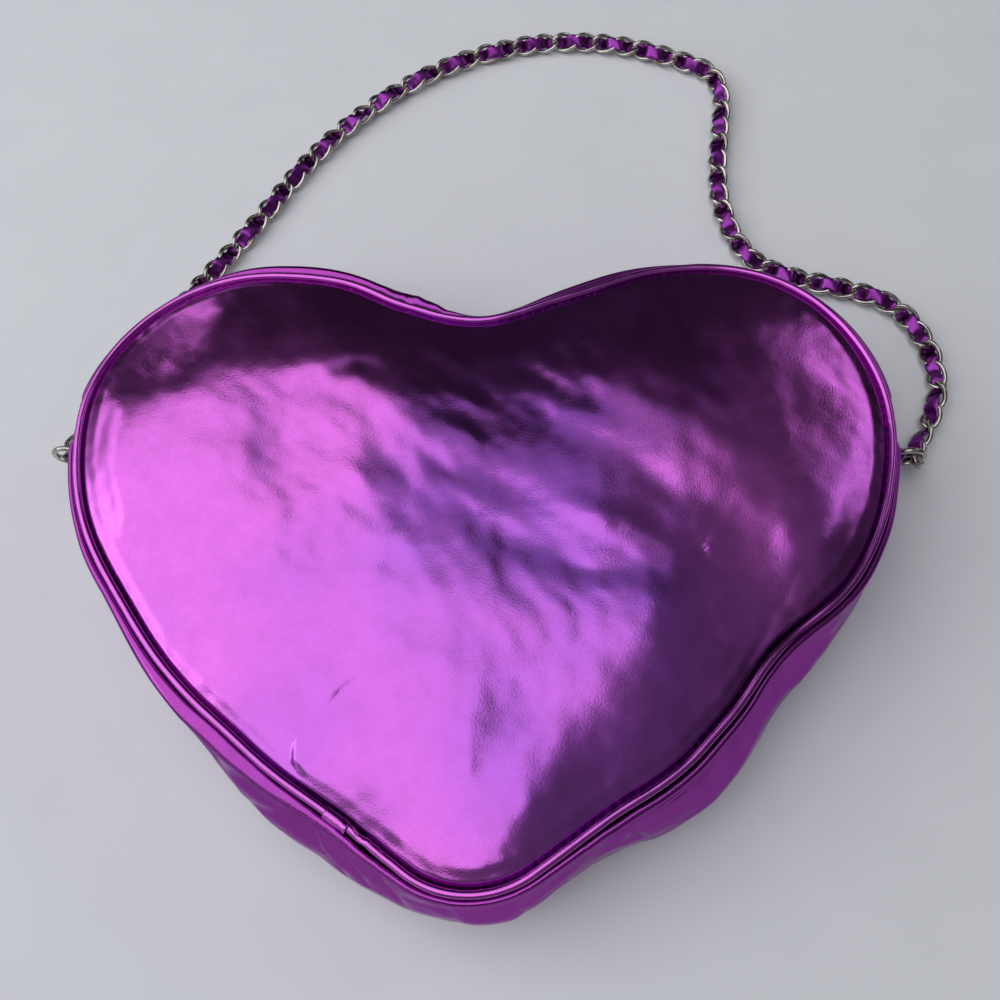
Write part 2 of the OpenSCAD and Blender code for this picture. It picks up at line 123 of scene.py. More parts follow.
def surface(name, grid, row_uv, column_uv, material, wrap_rows=False):
    """A closed piece from a grid of points: each row is one closed cross-section, and the rows follow a path.
    row_uv and column_uv are the distances along the path and round the section, one more than the wrapped
    count. Open ends are closed by quads between the two halves of the end section."""
    rows, columns = grid.shape[:2]
    quads, ri, cj = grid_quads(rows, columns, wrap_rows)
    uv = np.stack([np.asarray(row_uv)[ri], np.asarray(column_uv)[cj]], -1).reshape(-1, 2) * MM
    if not wrap_rows:
        k = np.arange(columns // 2 - 1)
        first = np.stack([k, k + 1, columns - 2 - k, columns - 1 - k], 1)
        quads = np.vstack([quads, first, (rows - 1) * columns + first[:, ::-1]])
        uv = np.vstack([uv, np.zeros((8 * len(first), 2))])
    return put_mesh(name, grid.reshape(-1, 3), quads, uv=uv, material=material)


def waves(x, y, seed, count, shortest, longest):
    """Smooth noise from -1 to 1: a sum of sine waves in random directions, longer ones stronger."""
    rng = np.random.default_rng(seed)
    total, weight = 0.0, 0.0
    for _ in range(count):
        length = math.exp(rng.uniform(math.log(shortest), math.log(longest)))
        angle, phase = rng.uniform(0, math.pi), rng.uniform(0, 2 * math.pi)
        run = (x * math.cos(angle) + y * math.sin(angle)) / length
        total = total + length * np.sin(2 * math.pi * run + phase)
        weight += length ** 2
    return total / math.sqrt(weight)


def bell(d, width):
    """1 at distance 0, falling smoothly to nearly nothing at two widths."""
    return np.exp(-(d / width) ** 2)


def smooth_step(t):
    """Rises smoothly from 0 to 1 while t does."""
    t = np.clip(t, 0, 1)
    return t * t * (3 - 2 * t)


# ---------------------------------------------------------------- outline
LOBE_X, LOBE_R, CROWN_R, CLEFT_SLOPE, HIP_R, TIP_R, HEART_H = 82, 67, 115, 32, 119, 34, 230
LOBE_Y = HEART_H / 2 - LOBE_R
CROWN_Y = HEART_H / 2 - CROWN_R
TIP_Y = TIP_R - HEART_H / 2
HIP_X = LOBE_X + LOBE_R - HIP_R
FRONT_Z, BACK_Z = 50.0, 2.2
BAND_LO, BAND_HI, ZIP_Z = 3.8, 48.4, 26.1
# How far the side band bulges out over the lobes and low on the sides, how much of that is lost at
# the tip, and where along Y the low bulge begins and over how much it grows
TOP_BULGE, LOW_BULGE, TIP_SHARE, LOW_START, LOW_RUN = 6, 14, 0.8, -28, 55
# Half opening of the closed zip, how much more it gapes, where along the top that begins, and the
# tape that shows beside the teeth
ROW_GAP, MOUTH_GAPE, MOUTH_START, STRIP_REVEAL = 3.5, 4.5, 0.4, 3
LEATHER_T, LINING_T, TAPE_T = 1.0, 0.5, 0.6
PIPING_R, FLANGE_ANGLE, FLANGE_LENGTH, PIPING_OUT = 1.52, 212, 5.5, 0.3


def trace_outline():
    """The heart's seam line, counter-clockwise from the right side seam: two lobes with flatter crowns,
    a hollow arc for the cleft, and two hips joined to the round tip by straight lines.
    Gives points half a millimetre apart, the distance of each along the line, and the lengths of the
    top part and of the whole line."""
    reach = math.hypot(HIP_X, LOBE_Y - TIP_Y)
    side = math.degrees(math.acos((HIP_R - TIP_R) / reach) - math.atan2(HIP_X, LOBE_Y - TIP_Y))
    slope = math.radians(CLEFT_SLOPE)
    cleft_r = (LOBE_X - CROWN_R * math.sin(slope)) / math.sin(slope)
    cleft_y = CROWN_Y + (CROWN_R + cleft_r) * math.cos(slope)
    arcs = [(LOBE_X, LOBE_Y, LOBE_R, 0, 90), (LOBE_X, CROWN_Y, CROWN_R, 90, 90 + CLEFT_SLOPE),
            (0, cleft_y, cleft_r, CLEFT_SLOPE - 90, -90 - CLEFT_SLOPE),
            (-LOBE_X, CROWN_Y, CROWN_R, 90 - CLEFT_SLOPE, 90), (-LOBE_X, LOBE_Y, LOBE_R, 90, 180),
            (-HIP_X, LOBE_Y, HIP_R, 180, 270 - side), (0, TIP_Y, TIP_R, 270 - side, 270 + side),
            (HIP_X, LOBE_Y, HIP_R, side - 90, 0)]
    runs = []
    for x, y, r, first, last in arcs:
        turn = np.radians(np.linspace(first, last, int(abs(last - first) * r / 25) + 2))
        runs.append(np.stack([x + r * np.cos(turn), y + r * np.sin(turn)], 1))
    top_points = sum(len(run) for run in runs[:5])
    points = np.vstack(runs)
    keep = np.r_[True, np.hypot(*np.diff(points, axis=0).T) > 1e-6]
    way = np.r_[0, np.cumsum(np.hypot(*np.diff(points, axis=0).T))]
    top = way[top_points - 1]
    points, way = points[keep], way[keep]
    even = np.arange(0, way[-1], 0.5)
    return np.stack([np.interp(even, way, points[:, k]) for k in (0, 1)], 1), even, top, way[-1]


# Where the soft body has settled in or out of the heart: x, y, reach, outward shift
SETTLED = [(112, -38, 24, -7.5), (66, -80, 15, 3.2), (-66, -77, 26, 2.6), (-132, -12, 26, -1.8),
           (118, 105, 32, 2), (40, 107, 18, -2.3), (14, 94, 12, 1), (-32, 104, 17, -3.4),
           (-70, 115, 48, -2.8), (-128, 96, 30, -1.2), (-146, 25, 30, -0.6),
           (-121, -27, 24, -2.4), (-92, -55, 16, 1.2),
           (5, -115, 24, -1.1), (64, -79, 9, -0.8), (97, -45, 16, -2), (135, -6, 28, -2), (146, 25, 16, -0.7)]


def outward(points):
    """Unit normals of a closed line of points that runs counter-clockwise."""
    ahead = np.roll(points, -3, 0) - np.roll(points, 3, 0)
    normal = np.stack([ahead[:, 1], -ahead[:, 0]], 1)
    return normal / np.hypot(*normal.T)[:, None]


SEAM, WAY, TOP_LEN, LOOP_LEN = trace_outline()
NORMAL = outward(SEAM)
shift = sum(a * bell(np.hypot(SEAM[:, 0] - x, SEAM[:, 1] - y), w) for x, y, w, a in SETTLED)
SEAM = SEAM + NORMAL * shift[:, None]
NORMAL = outward(SEAM)


def seam_at(s):
    """Points on the settled seam line and their outward normals, at distances s along it."""
    s = np.asarray(s) % LOOP_LEN
    w = np.r_[WAY, LOOP_LEN]
    pick = lambda a, k: np.interp(s, w, np.r_[a[:, k], a[0, k]])
    point = np.stack([pick(SEAM, 0), pick(SEAM, 1)], 1)
    normal = np.stack([pick(NORMAL, 0), pick(NORMAL, 1)], 1)
    return point, normal / np.hypot(*normal.T)[:, None]


def nearest_way(x, y):
    """Distance along the seam of the place nearest to (x, y)."""
    return WAY[np.argmin(np.hypot(SEAM[:, 0] - x, SEAM[:, 1] - y))]


def band(s, offset, height):
    """Grid of points of a piece of the side band: rows at distances s along the seam, columns at an
    outward offset and a height, each an array with one row per station."""
    point, normal = seam_at(s)
    flat = point[:, None, :] + normal[:, None, :] * offset[:, :, None]
    return np.concatenate([flat, np.broadcast_to(height, offset.shape)[:, :, None]], 2)


# ---------------------------------------------------------------- shader helpers
class Graph:
    """Small helper that adds nodes to a node tree and wires them by socket name."""

    def __init__(self, tree):
        self.tree = tree

    def fill(self, node, values):
        """Sets the node's inputs, or wires them where the value is another node's output."""
        for key, value in values.items():
            if isinstance(value, bpy.types.NodeSocket):
                self.tree.links.new(value, node.inputs[key])
            else:
                node.inputs[key].default_value = value
        return node

    def add(self, kind, values=None, **settings):
        node = self.tree.nodes.new(kind)
        for key, value in settings.items():
            setattr(node, key, value)
        return self.fill(node, values or {})

    def math(self, operation, a, b=0.0):
        return self.add("ShaderNodeMath", {0: a, 1: b}, operation=operation).outputs[0]

    def mix(self, factor, a, b):
        return self.add("ShaderNodeMix", {0: factor, 6: a, 7: b}, data_type="RGBA").outputs[2]

    def noise(self, place, scale, detail, **more):
        values = {"Vector": place, "Scale": scale, "Detail": detail, **more}
        return self.add("ShaderNodeTexNoise", values).outputs[0]

    def bump(self, height, strength, depth, **more):
        """A bump whose depth is in millimetres."""
        values = {"Height": height, "Strength": strength, "Distance": depth * MM, **more}
        return self.add("ShaderNodeBump", values).outputs[0]

    def span(self, value, low, high, new_low=0.0, new_high=1.0):
        """Carries low..high over to new_low..new_high, and holds its ends."""
        values = {0: value, 1: low, 2: high, 3: new_low, 4: new_high}
        return self.add("ShaderNodeMapRange", values).outputs[0]


def new_group(name, numbers):
    """A shader node group with the input Place, the given numbers, and the outputs Height and Mask."""
    tree = bpy.data.node_groups.new(name, "ShaderNodeTree")
    tree.interface.new_socket("Place", in_out="INPUT", socket_type="NodeSocketVector")
    for label, value in numbers.items():
        tree.interface.new_socket(label, in_out="INPUT", socket_type="NodeSocketFloat").default_value = value
    for label in ("Height", "Mask"):
        tree.interface.new_socket(label, in_out="OUTPUT", socket_type="NodeSocketFloat")
    graph = Graph(tree)
    return graph, graph.add("NodeGroupInput").outputs, graph.add("NodeGroupOutput")


def grain_group():
    """Fine leather grain: small uneven pebbles with finer noise on top. Height is for a Bump node, and
    Mask is 1 in the hollows."""
    g, put, out = new_group("grain", {"Scale": 900.0})
    bend = g.add("ShaderNodeTexNoise", {"Vector": put["Place"], "Scale": 60.0, "Detail": 2.0})
    warp = g.add("ShaderNodeVectorMath", {0: bend.outputs["Color"], 1: (0.5, 0.5, 0.5)}, operation="SUBTRACT")
    small = g.add("ShaderNodeVectorMath", {0: warp.outputs[0], "Scale": 0.004}, operation="SCALE")
    place = g.add("ShaderNodeVectorMath", {0: put["Place"], 1: small.outputs[0]}, operation="ADD").outputs[0]
    cells = g.add("ShaderNodeTexVoronoi", {"Vector": place, "Scale": put["Scale"]}, feature="SMOOTH_F1")
    fine = g.noise(place, g.math("MULTIPLY", put["Scale"], 1.7), 3.0, Roughness=0.6)
    hollow = g.span(cells.outputs["Distance"], 0.35, 0.75)
    height = g.math("ADD", g.math("MULTIPLY", hollow, -0.6), g.math("MULTIPLY", fine, 0.8))
    g.fill(out, {"Height": height, "Mask": hollow})
    return g.tree


def crinkle_group():
    """Soft handling creases: thin wandering lines where two folds of noise cross zero, in patches.
    Height falls in the lines, and Mask is 1 on them."""
    g, put, out = new_group("crinkle", {"Scale": 60.0, "Cover": 0.5})
    folds = g.noise(put["Place"], put["Scale"], 3.0, Roughness=0.55, Distortion=0.6)
    line = g.math("ABSOLUTE", g.math("SUBTRACT", folds, 0.5))
    thin = g.span(line, 0.0, 0.03, 1.0, 0.0)
    patch = g.noise(put["Place"], g.math("MULTIPLY", put["Scale"], 0.35), 1.0)
    inside = g.span(patch, g.math("SUBTRACT", 1.0, put["Cover"]), g.math("SUBTRACT", 1.12, put["Cover"]))
    mask = g.math("MULTIPLY", thin, inside)
    height = g.math("SUBTRACT", g.math("MULTIPLY", folds, 0.5), mask)
    g.fill(out, {"Height": height, "Mask": mask})
    return g.tree


def weave_group():
    """Plain weave on the piece's own map: threads over and under, as two sine waves multiplied."""
    g, put, out = new_group("weave", {"Threads per metre": 2000.0})
    axes = g.add("ShaderNodeSeparateXYZ", {0: put["Place"]})
    turn = g.math("MULTIPLY", put["Threads per metre"], math.pi)
    across = g.math("SINE", g.math("MULTIPLY", axes.outputs[0], turn))
    along = g.math("SINE", g.math("MULTIPLY", axes.outputs[1], turn))
    height = g.math("MULTIPLY", across, along)
    g.fill(out, {"Height": height, "Mask": g.span(height, -1.0, 1.0)})
    return g.tree


GRAIN, CRINKLE, WEAVE = grain_group(), crinkle_group(), weave_group()


def new_material(name):
    material = bpy.data.materials.new(name)
    material.use_nodes = True
    graph = Graph(material.node_tree)
    shader = material.node_tree.nodes["Principled BSDF"]
    return material, graph, shader, graph.add("ShaderNodeTexCoord").outputs


def dimmed(colour, share):
    return [min(1, c * share) for c in colour[:3]] + [1]


def foil_leather(name, pink, violet, roughness, grain, grain_depth, crease_depth, cover, coat=0.0,
                 middle=(0.0, 0.0, 0.0)):
    """Metallic foil on soft coated leather: a mirror-like colour that drifts from violet round the
    middle to pink further out, with a fine grain, soft creases that are slightly duller, and small
    changes in gloss. Where the attribute seam_shade is 1 it is nearly black: painted shade in the groove beside
    the piping."""
    material, g, shader, place = new_material(name)
    where = place["Object"]
    away = g.add("ShaderNodeVectorMath", {0: where, 1: middle}, operation="DISTANCE").outputs["Value"]
    near = g.math("ADD", g.span(away, 0.02, 0.13, 0.75, -0.15),
                  g.span(g.noise(where, 14.0, 2.0), 0.35, 0.65, -0.3, 0.35))
    colour = g.mix(g.span(near, 0.0, 1.0), pink, violet)
    fine = g.add("ShaderNodeGroup", {"Place": where, "Scale": grain}, node_tree=GRAIN).outputs
    soft = g.add("ShaderNodeGroup", {"Place": where, "Scale": 70.0, "Cover": cover}, node_tree=CRINKLE).outputs
    colour = g.mix(g.math("MULTIPLY", fine["Mask"], 0.18), colour, dimmed(pink, 0.62))
    colour = g.mix(g.math("MULTIPLY", soft["Mask"], 0.15), colour, dimmed(violet, 0.5))
    # Painted shade: the seam_shade mark darkens the foil nearly to black in the groove beside the piping.
    seam = g.add("ShaderNodeAttribute", attribute_name="seam_shade").outputs["Fac"]
    colour = g.mix(g.math("MULTIPLY", seam, 0.93), colour, (0.05, 0.004, 0.07, 1))
    worn = g.noise(where, 120.0, 5.0, Roughness=0.7)
    colour = g.mix(g.span(worn, 0.4, 0.72, 0.0, 0.3), colour, dimmed(pink, 0.6))
    gloss = g.span(g.noise(where, 35.0, 4.0, Roughness=0.65), 0.3, 0.7, roughness - 0.05, roughness + 0.07)
    gloss = g.math("ADD", gloss, g.math("MULTIPLY", soft["Mask"], 0.08))
    creased = g.bump(soft["Height"], 1.0, crease_depth, Normal=g.bump(fine["Height"], 1.0, grain_depth))
    g.fill(shader, {"Base Color": colour, "Roughness": gloss, "Normal": creased, "Metallic": 1.0,
                    "Specular Tint": (0.75, 0.55, 0.8, 1), "Coat Weight": coat, "Coat Roughness": 0.1,
                    "Coat IOR": 1.55})
    return material


def cloth_material(name, colour, dark, threads, roughness=0.8):
    """Plain woven cloth in two close tones, the darker one between the threads, with faint lint."""
    material, g, shader, place = new_material(name)
    threading = {"Place": place["UV"], "Threads per metre": threads}
    weave = g.add("ShaderNodeGroup", threading, node_tree=WEAVE).outputs
    lint = g.span(g.noise(place["Object"], 90.0, 5.0), 0.45, 0.8, 0.0, 0.3)
    base = g.mix(lint, g.mix(weave["Mask"], dark, colour), dimmed(colour, 1.6))
    g.fill(shader, {"Base Color": base, "Normal": g.bump(weave["Height"], 0.7, 0.15), "Roughness": roughness,
                    "Sheen Weight": 0.2})
    return material


def nickel_material(name, bright, tarnish, roughness):
    """Polished nickel, a little darker and duller in patches where handling has worn it."""
    material, g, shader, place = new_material(name)
    worn = g.span(g.noise(place["Object"], 160.0, 4.0), 0.42, 0.7)
    g.fill(shader, {"Base Color": g.mix(worn, bright, tarnish), "Metallic": 1.0,
                    "Roughness": g.span(worn, 0.0, 1.0, roughness, roughness + 0.14),
                    "Normal": g.bump(g.noise(place["Object"], 1400.0, 2.0), 0.4, 0.02)})
    return material


# Each foil: its two colours, roughness, grains per metre, depth of grain and of creases, share creased
PANEL_FOIL = foil_leather("panel_foil", (0.56, 0.13, 0.59, 1), (0.33, 0.10, 0.58, 1),
                          0.19, 1700.0, 0.019, 0.01, 0.25, middle=(0.015, -0.02, 0.06))
# Painted shade: the side band's foil is the panel's foil leather made darker, for the dim light on the band.
SHADED_BAND_FOIL = foil_leather("band_foil_painted_shade", (0.33, 0.052, 0.35, 1), (0.21, 0.04, 0.29, 1),
                         0.14, 1300.0, 0.02, 0.05, 0.3)
PIPING_FOIL = foil_leather("piping_foil", (0.56, 0.12, 0.57, 1), (0.42, 0.10, 0.52, 1),
                           0.16, 1500.0, 0.012, 0.03, 0.3, coat=0.2)
RIBBON_FOIL = foil_leather("ribbon_foil", (0.24, 0.04, 0.30, 1), (0.15, 0.03, 0.24, 1),
                           0.27, 1600.0, 0.015, 0.04, 0.4)
LINING = cloth_material("lining_cloth", (0.035, 0.018, 0.035, 1), (0.012, 0.006, 0.012, 1), 1600.0)
TAPE = cloth_material("tape_cloth", (0.05, 0.016, 0.05, 1), (0.015, 0.005, 0.015, 1), 1300.0, 0.7)
FOAM = cloth_material("foam_backing", (0.8, 0.76, 0.62, 1), (0.6, 0.56, 0.44, 1), 900.0, 0.95)
NICKEL = nickel_material("nickel", (0.56, 0.54, 0.50, 1), (0.28, 0.25, 0.21, 1), 0.16)


# ---------------------------------------------------------------- strap
# The middle of the strap from the right end ring to the left one
STRAP_ROUTE = np.array([
    (169.6, 48.0, 16.6), (170.6, 50.6, 12.2), (172.5, 54.5, 8.2), (176, 60, 5.6),
    (181, 68, 4.6), (186, 78, 4.4), (189, 89, 4.4),
    (189, 101, 4.4), (186, 113, 4.4), (181, 123, 4.4), (173, 131, 4.4), (162, 136, 4.4),
    (150, 139.5, 4.4), (137.5, 143, 4.4), (126, 147.5, 4.4), (117, 154, 4.4), (111, 164, 4.4), (107, 177, 4.4),
    (105, 194, 4.4), (106.5, 216, 4.4), (109.5, 239, 4.4), (110, 254, 4.4), (105, 266, 4.4), (91, 274, 4.4),
    (72, 281.5, 4.4), (52, 286, 4.4), (27, 286.5, 4.4), (2, 281.5, 4.4), (-23, 271.5, 4.4), (-48, 255, 4.4),
    (-71, 233, 4.4), (-89, 209, 4.4), (-103.5, 184, 4.4), (-117, 161, 4.4), (-129, 142, 4.4), (-141, 122, 4.4),
    (-152, 102, 4.4), (-161, 84, 4.6), (-167, 70, 5.6), (-170.4, 58, 8.2), (-170.2, 51, 12.2),
    (-169.6, 48.0, 16.6)])
LINK_PITCH = 10.1


def smooth_route(points, step):
    """A smooth line through the points (each stretch a cubic that leaves along its neighbours' line),
    cut again into even steps. Gives the points and the distances along it."""
    p = np.vstack([2 * points[0] - points[1], points, 2 * points[-1] - points[-2]])
    t = np.linspace(0, 1, 24, endpoint=False)[None, :, None]
    a, b, c, d = (p[k:len(p) - 3 + k][:, None, :] for k in range(4))
    fine = 0.5 * (2 * b + (c - a) * t + (2 * a - 5 * b + 4 * c - d) * t ** 2
                  + (3 * b - a - 3 * c + d) * t ** 3)
    fine = np.vstack([fine.reshape(-1, 3), points[-1:]])
    way = np.r_[0, np.cumsum(np.linalg.norm(np.diff(fine, axis=0), axis=1))]
    even = np.linspace(0, way[-1], int(round(way[-1] / step)) + 1)
    return np.stack([np.interp(even, way, fine[:, k]) for k in range(3)], 1), even


ROUTE, ROUTE_WAY = smooth_route(STRAP_ROUTE, 0.8)


def strap_frames(way):
    """Place, direction, sideways and upward unit vectors of the strap at distances along it. The chain
    leans to one side as it lies, by an angle that wanders along it."""
    along = np.gradient(ROUTE, axis=0)
    along /= np.linalg.norm(along, axis=1)[:, None]
    side = np.cross(along, [0, 0, 1])
    side /= np.linalg.norm(side, axis=1)[:, None]
    up = np.cross(side, along)
    lean = np.radians(30 + 14 * np.sin(ROUTE_WAY / 47.0 + 1.0) + 9 * np.sin(ROUTE_WAY / 19.0))
    lean = (lean * smooth_step(np.minimum(ROUTE_WAY, ROUTE_WAY[-1] - ROUTE_WAY) / 25))[:, None]
    side, up = side * np.cos(lean) + up * np.sin(lean), up * np.cos(lean) - side * np.sin(lean)
    return [np.stack([np.interp(way, ROUTE_WAY, a[:, k]) for k in range(3)], -1)
            for a in (ROUTE, along, side, up)]


def chain_links_mesh():
    """Curb links. Round the link's angle t, a point is half_length cos t along the chain and
    half_width sin t across it, turned about the chain by 45 degrees at one end and back by 45 at the
    other, so that each end hooks square through the next link's end."""
    count = int(ROUTE_WAY[-1] / LINK_PITCH)
    pitch = ROUTE_WAY[-1] / count
    half_length, half_width, wire, sides = 6.1, 3.75, 0.98, 8
    t = np.linspace(0, 2 * np.pi, 30, endpoint=False)
    x = half_length * np.sign(np.cos(t)) * np.abs(np.cos(t)) ** 0.85
    across = half_width * np.sign(np.sin(t)) * np.abs(np.sin(t)) ** 0.9
    rng = np.random.default_rng(11)
    jitter = np.radians(rng.uniform(-7, 7, count))[:, None]
    turn = np.radians(46) * x / half_length + jitter
    middles = pitch * (np.arange(count) + 0.5)[:, None]
    on_route = np.clip(middles + x[None, :], 0, ROUTE_WAY[-1])
    place, along, side, up = strap_frames(on_route)
    beyond = (middles + x[None, :]) - on_route
    spine = (place + along * beyond[..., None] + side * (across * np.cos(turn))[..., None]
             + up * (across * np.sin(turn))[..., None])
    run = np.roll(spine, -1, 1) - np.roll(spine, 1, 1)
    run /= np.linalg.norm(run, axis=2)[..., None]
    inward = strap_frames(middles)[0] - spine
    inward -= run * np.einsum("ijk,ijk->ij", inward, run)[..., None]
    inward /= np.linalg.norm(inward, axis=2)[..., None]
    other = np.cross(run, inward)
    turn = np.linspace(0, 2 * np.pi, sides, endpoint=False)
    ring = spine[:, :, None, :] + wire * (inward[:, :, None, :] * np.cos(turn)[:, None]
                                          + other[:, :, None, :] * np.sin(turn)[:, None])
    quads = grid_quads(len(t), sides, True)[0]
    faces = (quads[None] + (np.arange(count) * len(t) * sides)[:, None, None]).reshape(-1, 4)
    low = ring[..., 2].min(axis=(1, 2))
    ring[..., 2] += np.maximum(0.1 - low, 0)[:, None, None]
    return put_mesh("strap_chain", ring.reshape(-1, 3), faces, material=NICKEL), pitch


def ribbon_mesh(pitch):
    """Flat strip woven through the links: over one joint of the chain and under the next, diving
    through the link's hole between. Its rise is a cosine of twice the pitch with flattened tops, and it
    is narrower where it squeezes through a hole."""
    way = np.linspace(5.5, ROUTE_WAY[-1] - 6.0, 1000)
    place, along, side, up = strap_frames(way)
    wave = np.cos(np.pi * way / pitch)
    rise = 2.3 * np.tanh(1.7 * wave) / math.tanh(1.7) + 0.3 * np.sin(way / 3.1) * np.sin(way / 17.0)
    squeeze = 1 - np.abs(wave)
    half = 3.1 - 0.9 * squeeze ** 2 + 0.15 * np.sin(way / 5.3)
    turn = np.radians(10 * np.sin(way / 13.0) + 12 * np.sin(np.pi * way / pitch))
    j = np.linspace(-1, 1, 9)
    cup = 0.7 * squeeze[:, None] * (j[None, :] ** 2 - 0.4) - 0.5 * wave[:, None] * j[None, :] ** 2
    thick = 0.4 * np.sqrt(np.clip(1 - j ** 4, 0.05, 1))
    sides = np.concatenate([half[:, None] * j, half[:, None] * j[::-1]], 1)
    ups = np.concatenate([cup + thick, (cup - thick)[:, ::-1]], 1)
    c, s = np.cos(turn)[:, None], np.sin(turn)[:, None]
    sides, ups = sides * c - ups * s, sides * s + ups * c + rise[:, None]
    grid = place[:, None, :] + side[:, None, :] * sides[..., None] + up[:, None, :] * ups[..., None]
    grid[..., 2] = np.maximum(grid[..., 2], 0.15)
    return surface("strap_ribbon", grid, row_uv=way, column_uv=np.linspace(0, 13, 19), material=RIBBON_FOIL)


chain, pitch = chain_links_mesh()
ribbon = ribbon_mesh(pitch)
for strap, node, width in ((chain, "chain_links", 0.009), (ribbon, "chain_ribbon", 0.006)):
    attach(strap, "purse")
    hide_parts(node)


# ---------------------------------------------------------------- front panel
def distance_inside(x, y, inset=1.4):
    """How far points lie inside the panel's edge, which runs a little inside the seam line."""
    edge = (SEAM - NORMAL * inset)[::2]
    flat = np.stack([np.ravel(x), np.ravel(y)], 1)
    out = np.empty(len(flat))
    for k in range(0, len(flat), 8000):
        part = flat[k:k + 8000]
        gap = part[:, None, :] - edge[None, :, :]
        out[k:k + 8000] = np.sqrt((gap ** 2).sum(2).min(1))
    return out.reshape(np.shape(x))


def blurred(field, times):
    """The grid smoothed: each time, every inner value becomes the mean of itself, twice, and its four
    neighbours."""
    soft = field.copy()
    for _ in range(times):
        soft[1:-1, 1:-1] = (soft[1:-1, 1:-1] * 2 + soft[:-2, 1:-1] + soft[2:, 1:-1]
                            + soft[1:-1, :-2] + soft[1:-1, 2:]) / 6
    return soft


def slack_folds():
    """Lets a slightly oversized sheet, sewn down all round the heart, rise and buckle as cloth, and
    keeps only the buckles: the sheet's height less its own smoothed height. Gives a height grid."""
    step, last_frame, highest = 4.5, 40, 1.4
    xs, ys = np.arange(-153, 154, step), np.arange(-121, 117, step)
    gx, gy = np.meshgrid(xs, ys, indexing="ij")
    inside = (distance_inside(gx, gy, 0) > 1.0) & (inside_outline(gx, gy))
    folds = np.zeros_like(gx)
    number = -np.ones(gx.shape, int)
    number[inside] = np.arange(inside.sum())
    corner = np.stack([number[:-1, :-1], number[1:, :-1], number[1:, 1:], number[:-1, 1:]], -1)
    corner = corner.reshape(-1, 4)
    quads = corner[(corner >= 0).all(1)]
    used = np.unique(quads)
    remap = -np.ones(inside.sum(), int)
    remap[used] = np.arange(len(used))
    at = np.stack([gx[inside], gy[inside]], 1)[used]
    lift = np.random.default_rng(3).normal(0, 0.25, len(used))
    sheet = put_mesh("slack_sheet", np.column_stack([at, lift]), remap[quads])
    rim = distance_inside(at[:, 0], at[:, 1], 0) < 6.5
    pins = sheet.vertex_groups.new(name="sewn")
    pins.add([int(k) for k in np.nonzero(rim)[0]], 1.0, "REPLACE")
    cloth = sheet.modifiers.new("cloth", "CLOTH")
    settings = cloth.settings
    settings.quality, settings.mass, settings.air_damping = 6, 0.25, 3.0
    settings.tension_stiffness = settings.compression_stiffness = settings.shear_stiffness = 18
    settings.bending_stiffness = 25.0
    settings.vertex_group_mass = "sewn"
    settings.shrink_min = -0.012
    settings.effector_weights.gravity = 0
    settings.use_pressure = True
    settings.uniform_pressure_force = 1.5
    cloth.collision_settings.use_self_collision = False
    cloth.point_cache.frame_start, cloth.point_cache.frame_end = 1, last_frame
    for moment in range(1, last_frame + 1):
        scene.frame_set(moment)
    shape = sheet.evaluated_get(bpy.context.evaluated_depsgraph_get()).to_mesh()
    co = np.empty(len(shape.vertices) * 3, np.float32)
    shape.vertices.foreach_get("co", co)
    height = co.reshape(-1, 3)[:, 2] / MM
    scene.frame_set(1)
    bpy.data.objects.remove(sheet)
    field = np.zeros_like(gx)
    weight = np.zeros_like(gx)
    ij = np.argwhere(inside)[used]
    field[ij[:, 0], ij[:, 1]] = np.nan_to_num(height)
    weight[ij[:, 0], ij[:, 1]] = 1
    fine = blurred(field, 4) / np.maximum(blurred(weight, 4), 1e-3)
    broad = blurred(field, 50) / np.maximum(blurred(weight, 50), 1e-3)
    folds = (fine - broad) * weight
    folds *= 0.55 / max(float(folds.std()), 1e-6)
    return xs, ys, highest * np.tanh(folds / highest)


def inside_outline(x, y):
    """Whether points lie inside the seam line: an upward ray's crossings are odd in number."""
    a, b = SEAM[::4], np.roll(SEAM[::4], -1, 0)
    px, py = np.ravel(x)[:, None], np.ravel(y)[:, None]
    spans = (a[:, 0] > px) != (b[:, 0] > px)
    run = np.where(np.abs(b[:, 0] - a[:, 0]) < 1e-9, 1e-9, b[:, 0] - a[:, 0])
    height = a[:, 1] + (px - a[:, 0]) * (b[:, 1] - a[:, 1]) / run
    return ((spans & (height > py)).sum(1) % 2 == 1).reshape(np.shape(x))


FOLD_X, FOLD_Y, FOLDS = slack_folds()


def spline_weights(t):
    """Weights of the four grid points round a place at fraction t between the middle two, which add
    to 1."""
    return ((1 - t) ** 3 / 6, (3 * t ** 3 - 6 * t ** 2 + 4) / 6,
            (1 + 3 * t + 3 * t ** 2 - 3 * t ** 3) / 6, t ** 3 / 6)


def sample_folds(x, y):
    """Height of the cloth's buckles at points: a smooth cubic blend of the sixteen grid points round."""
    fx = np.clip((x - FOLD_X[0]) / (FOLD_X[1] - FOLD_X[0]), 1, len(FOLD_X) - 2.001)
    fy = np.clip((y - FOLD_Y[0]) / (FOLD_Y[1] - FOLD_Y[0]), 1, len(FOLD_Y) - 2.001)
    i, j = fx.astype(int), fy.astype(int)
    across, along = spline_weights(fx - i), spline_weights(fy - j)
    return sum(across[a] * along[b] * FOLDS[i + a - 1, j + b - 1] for a in range(4) for b in range(4))


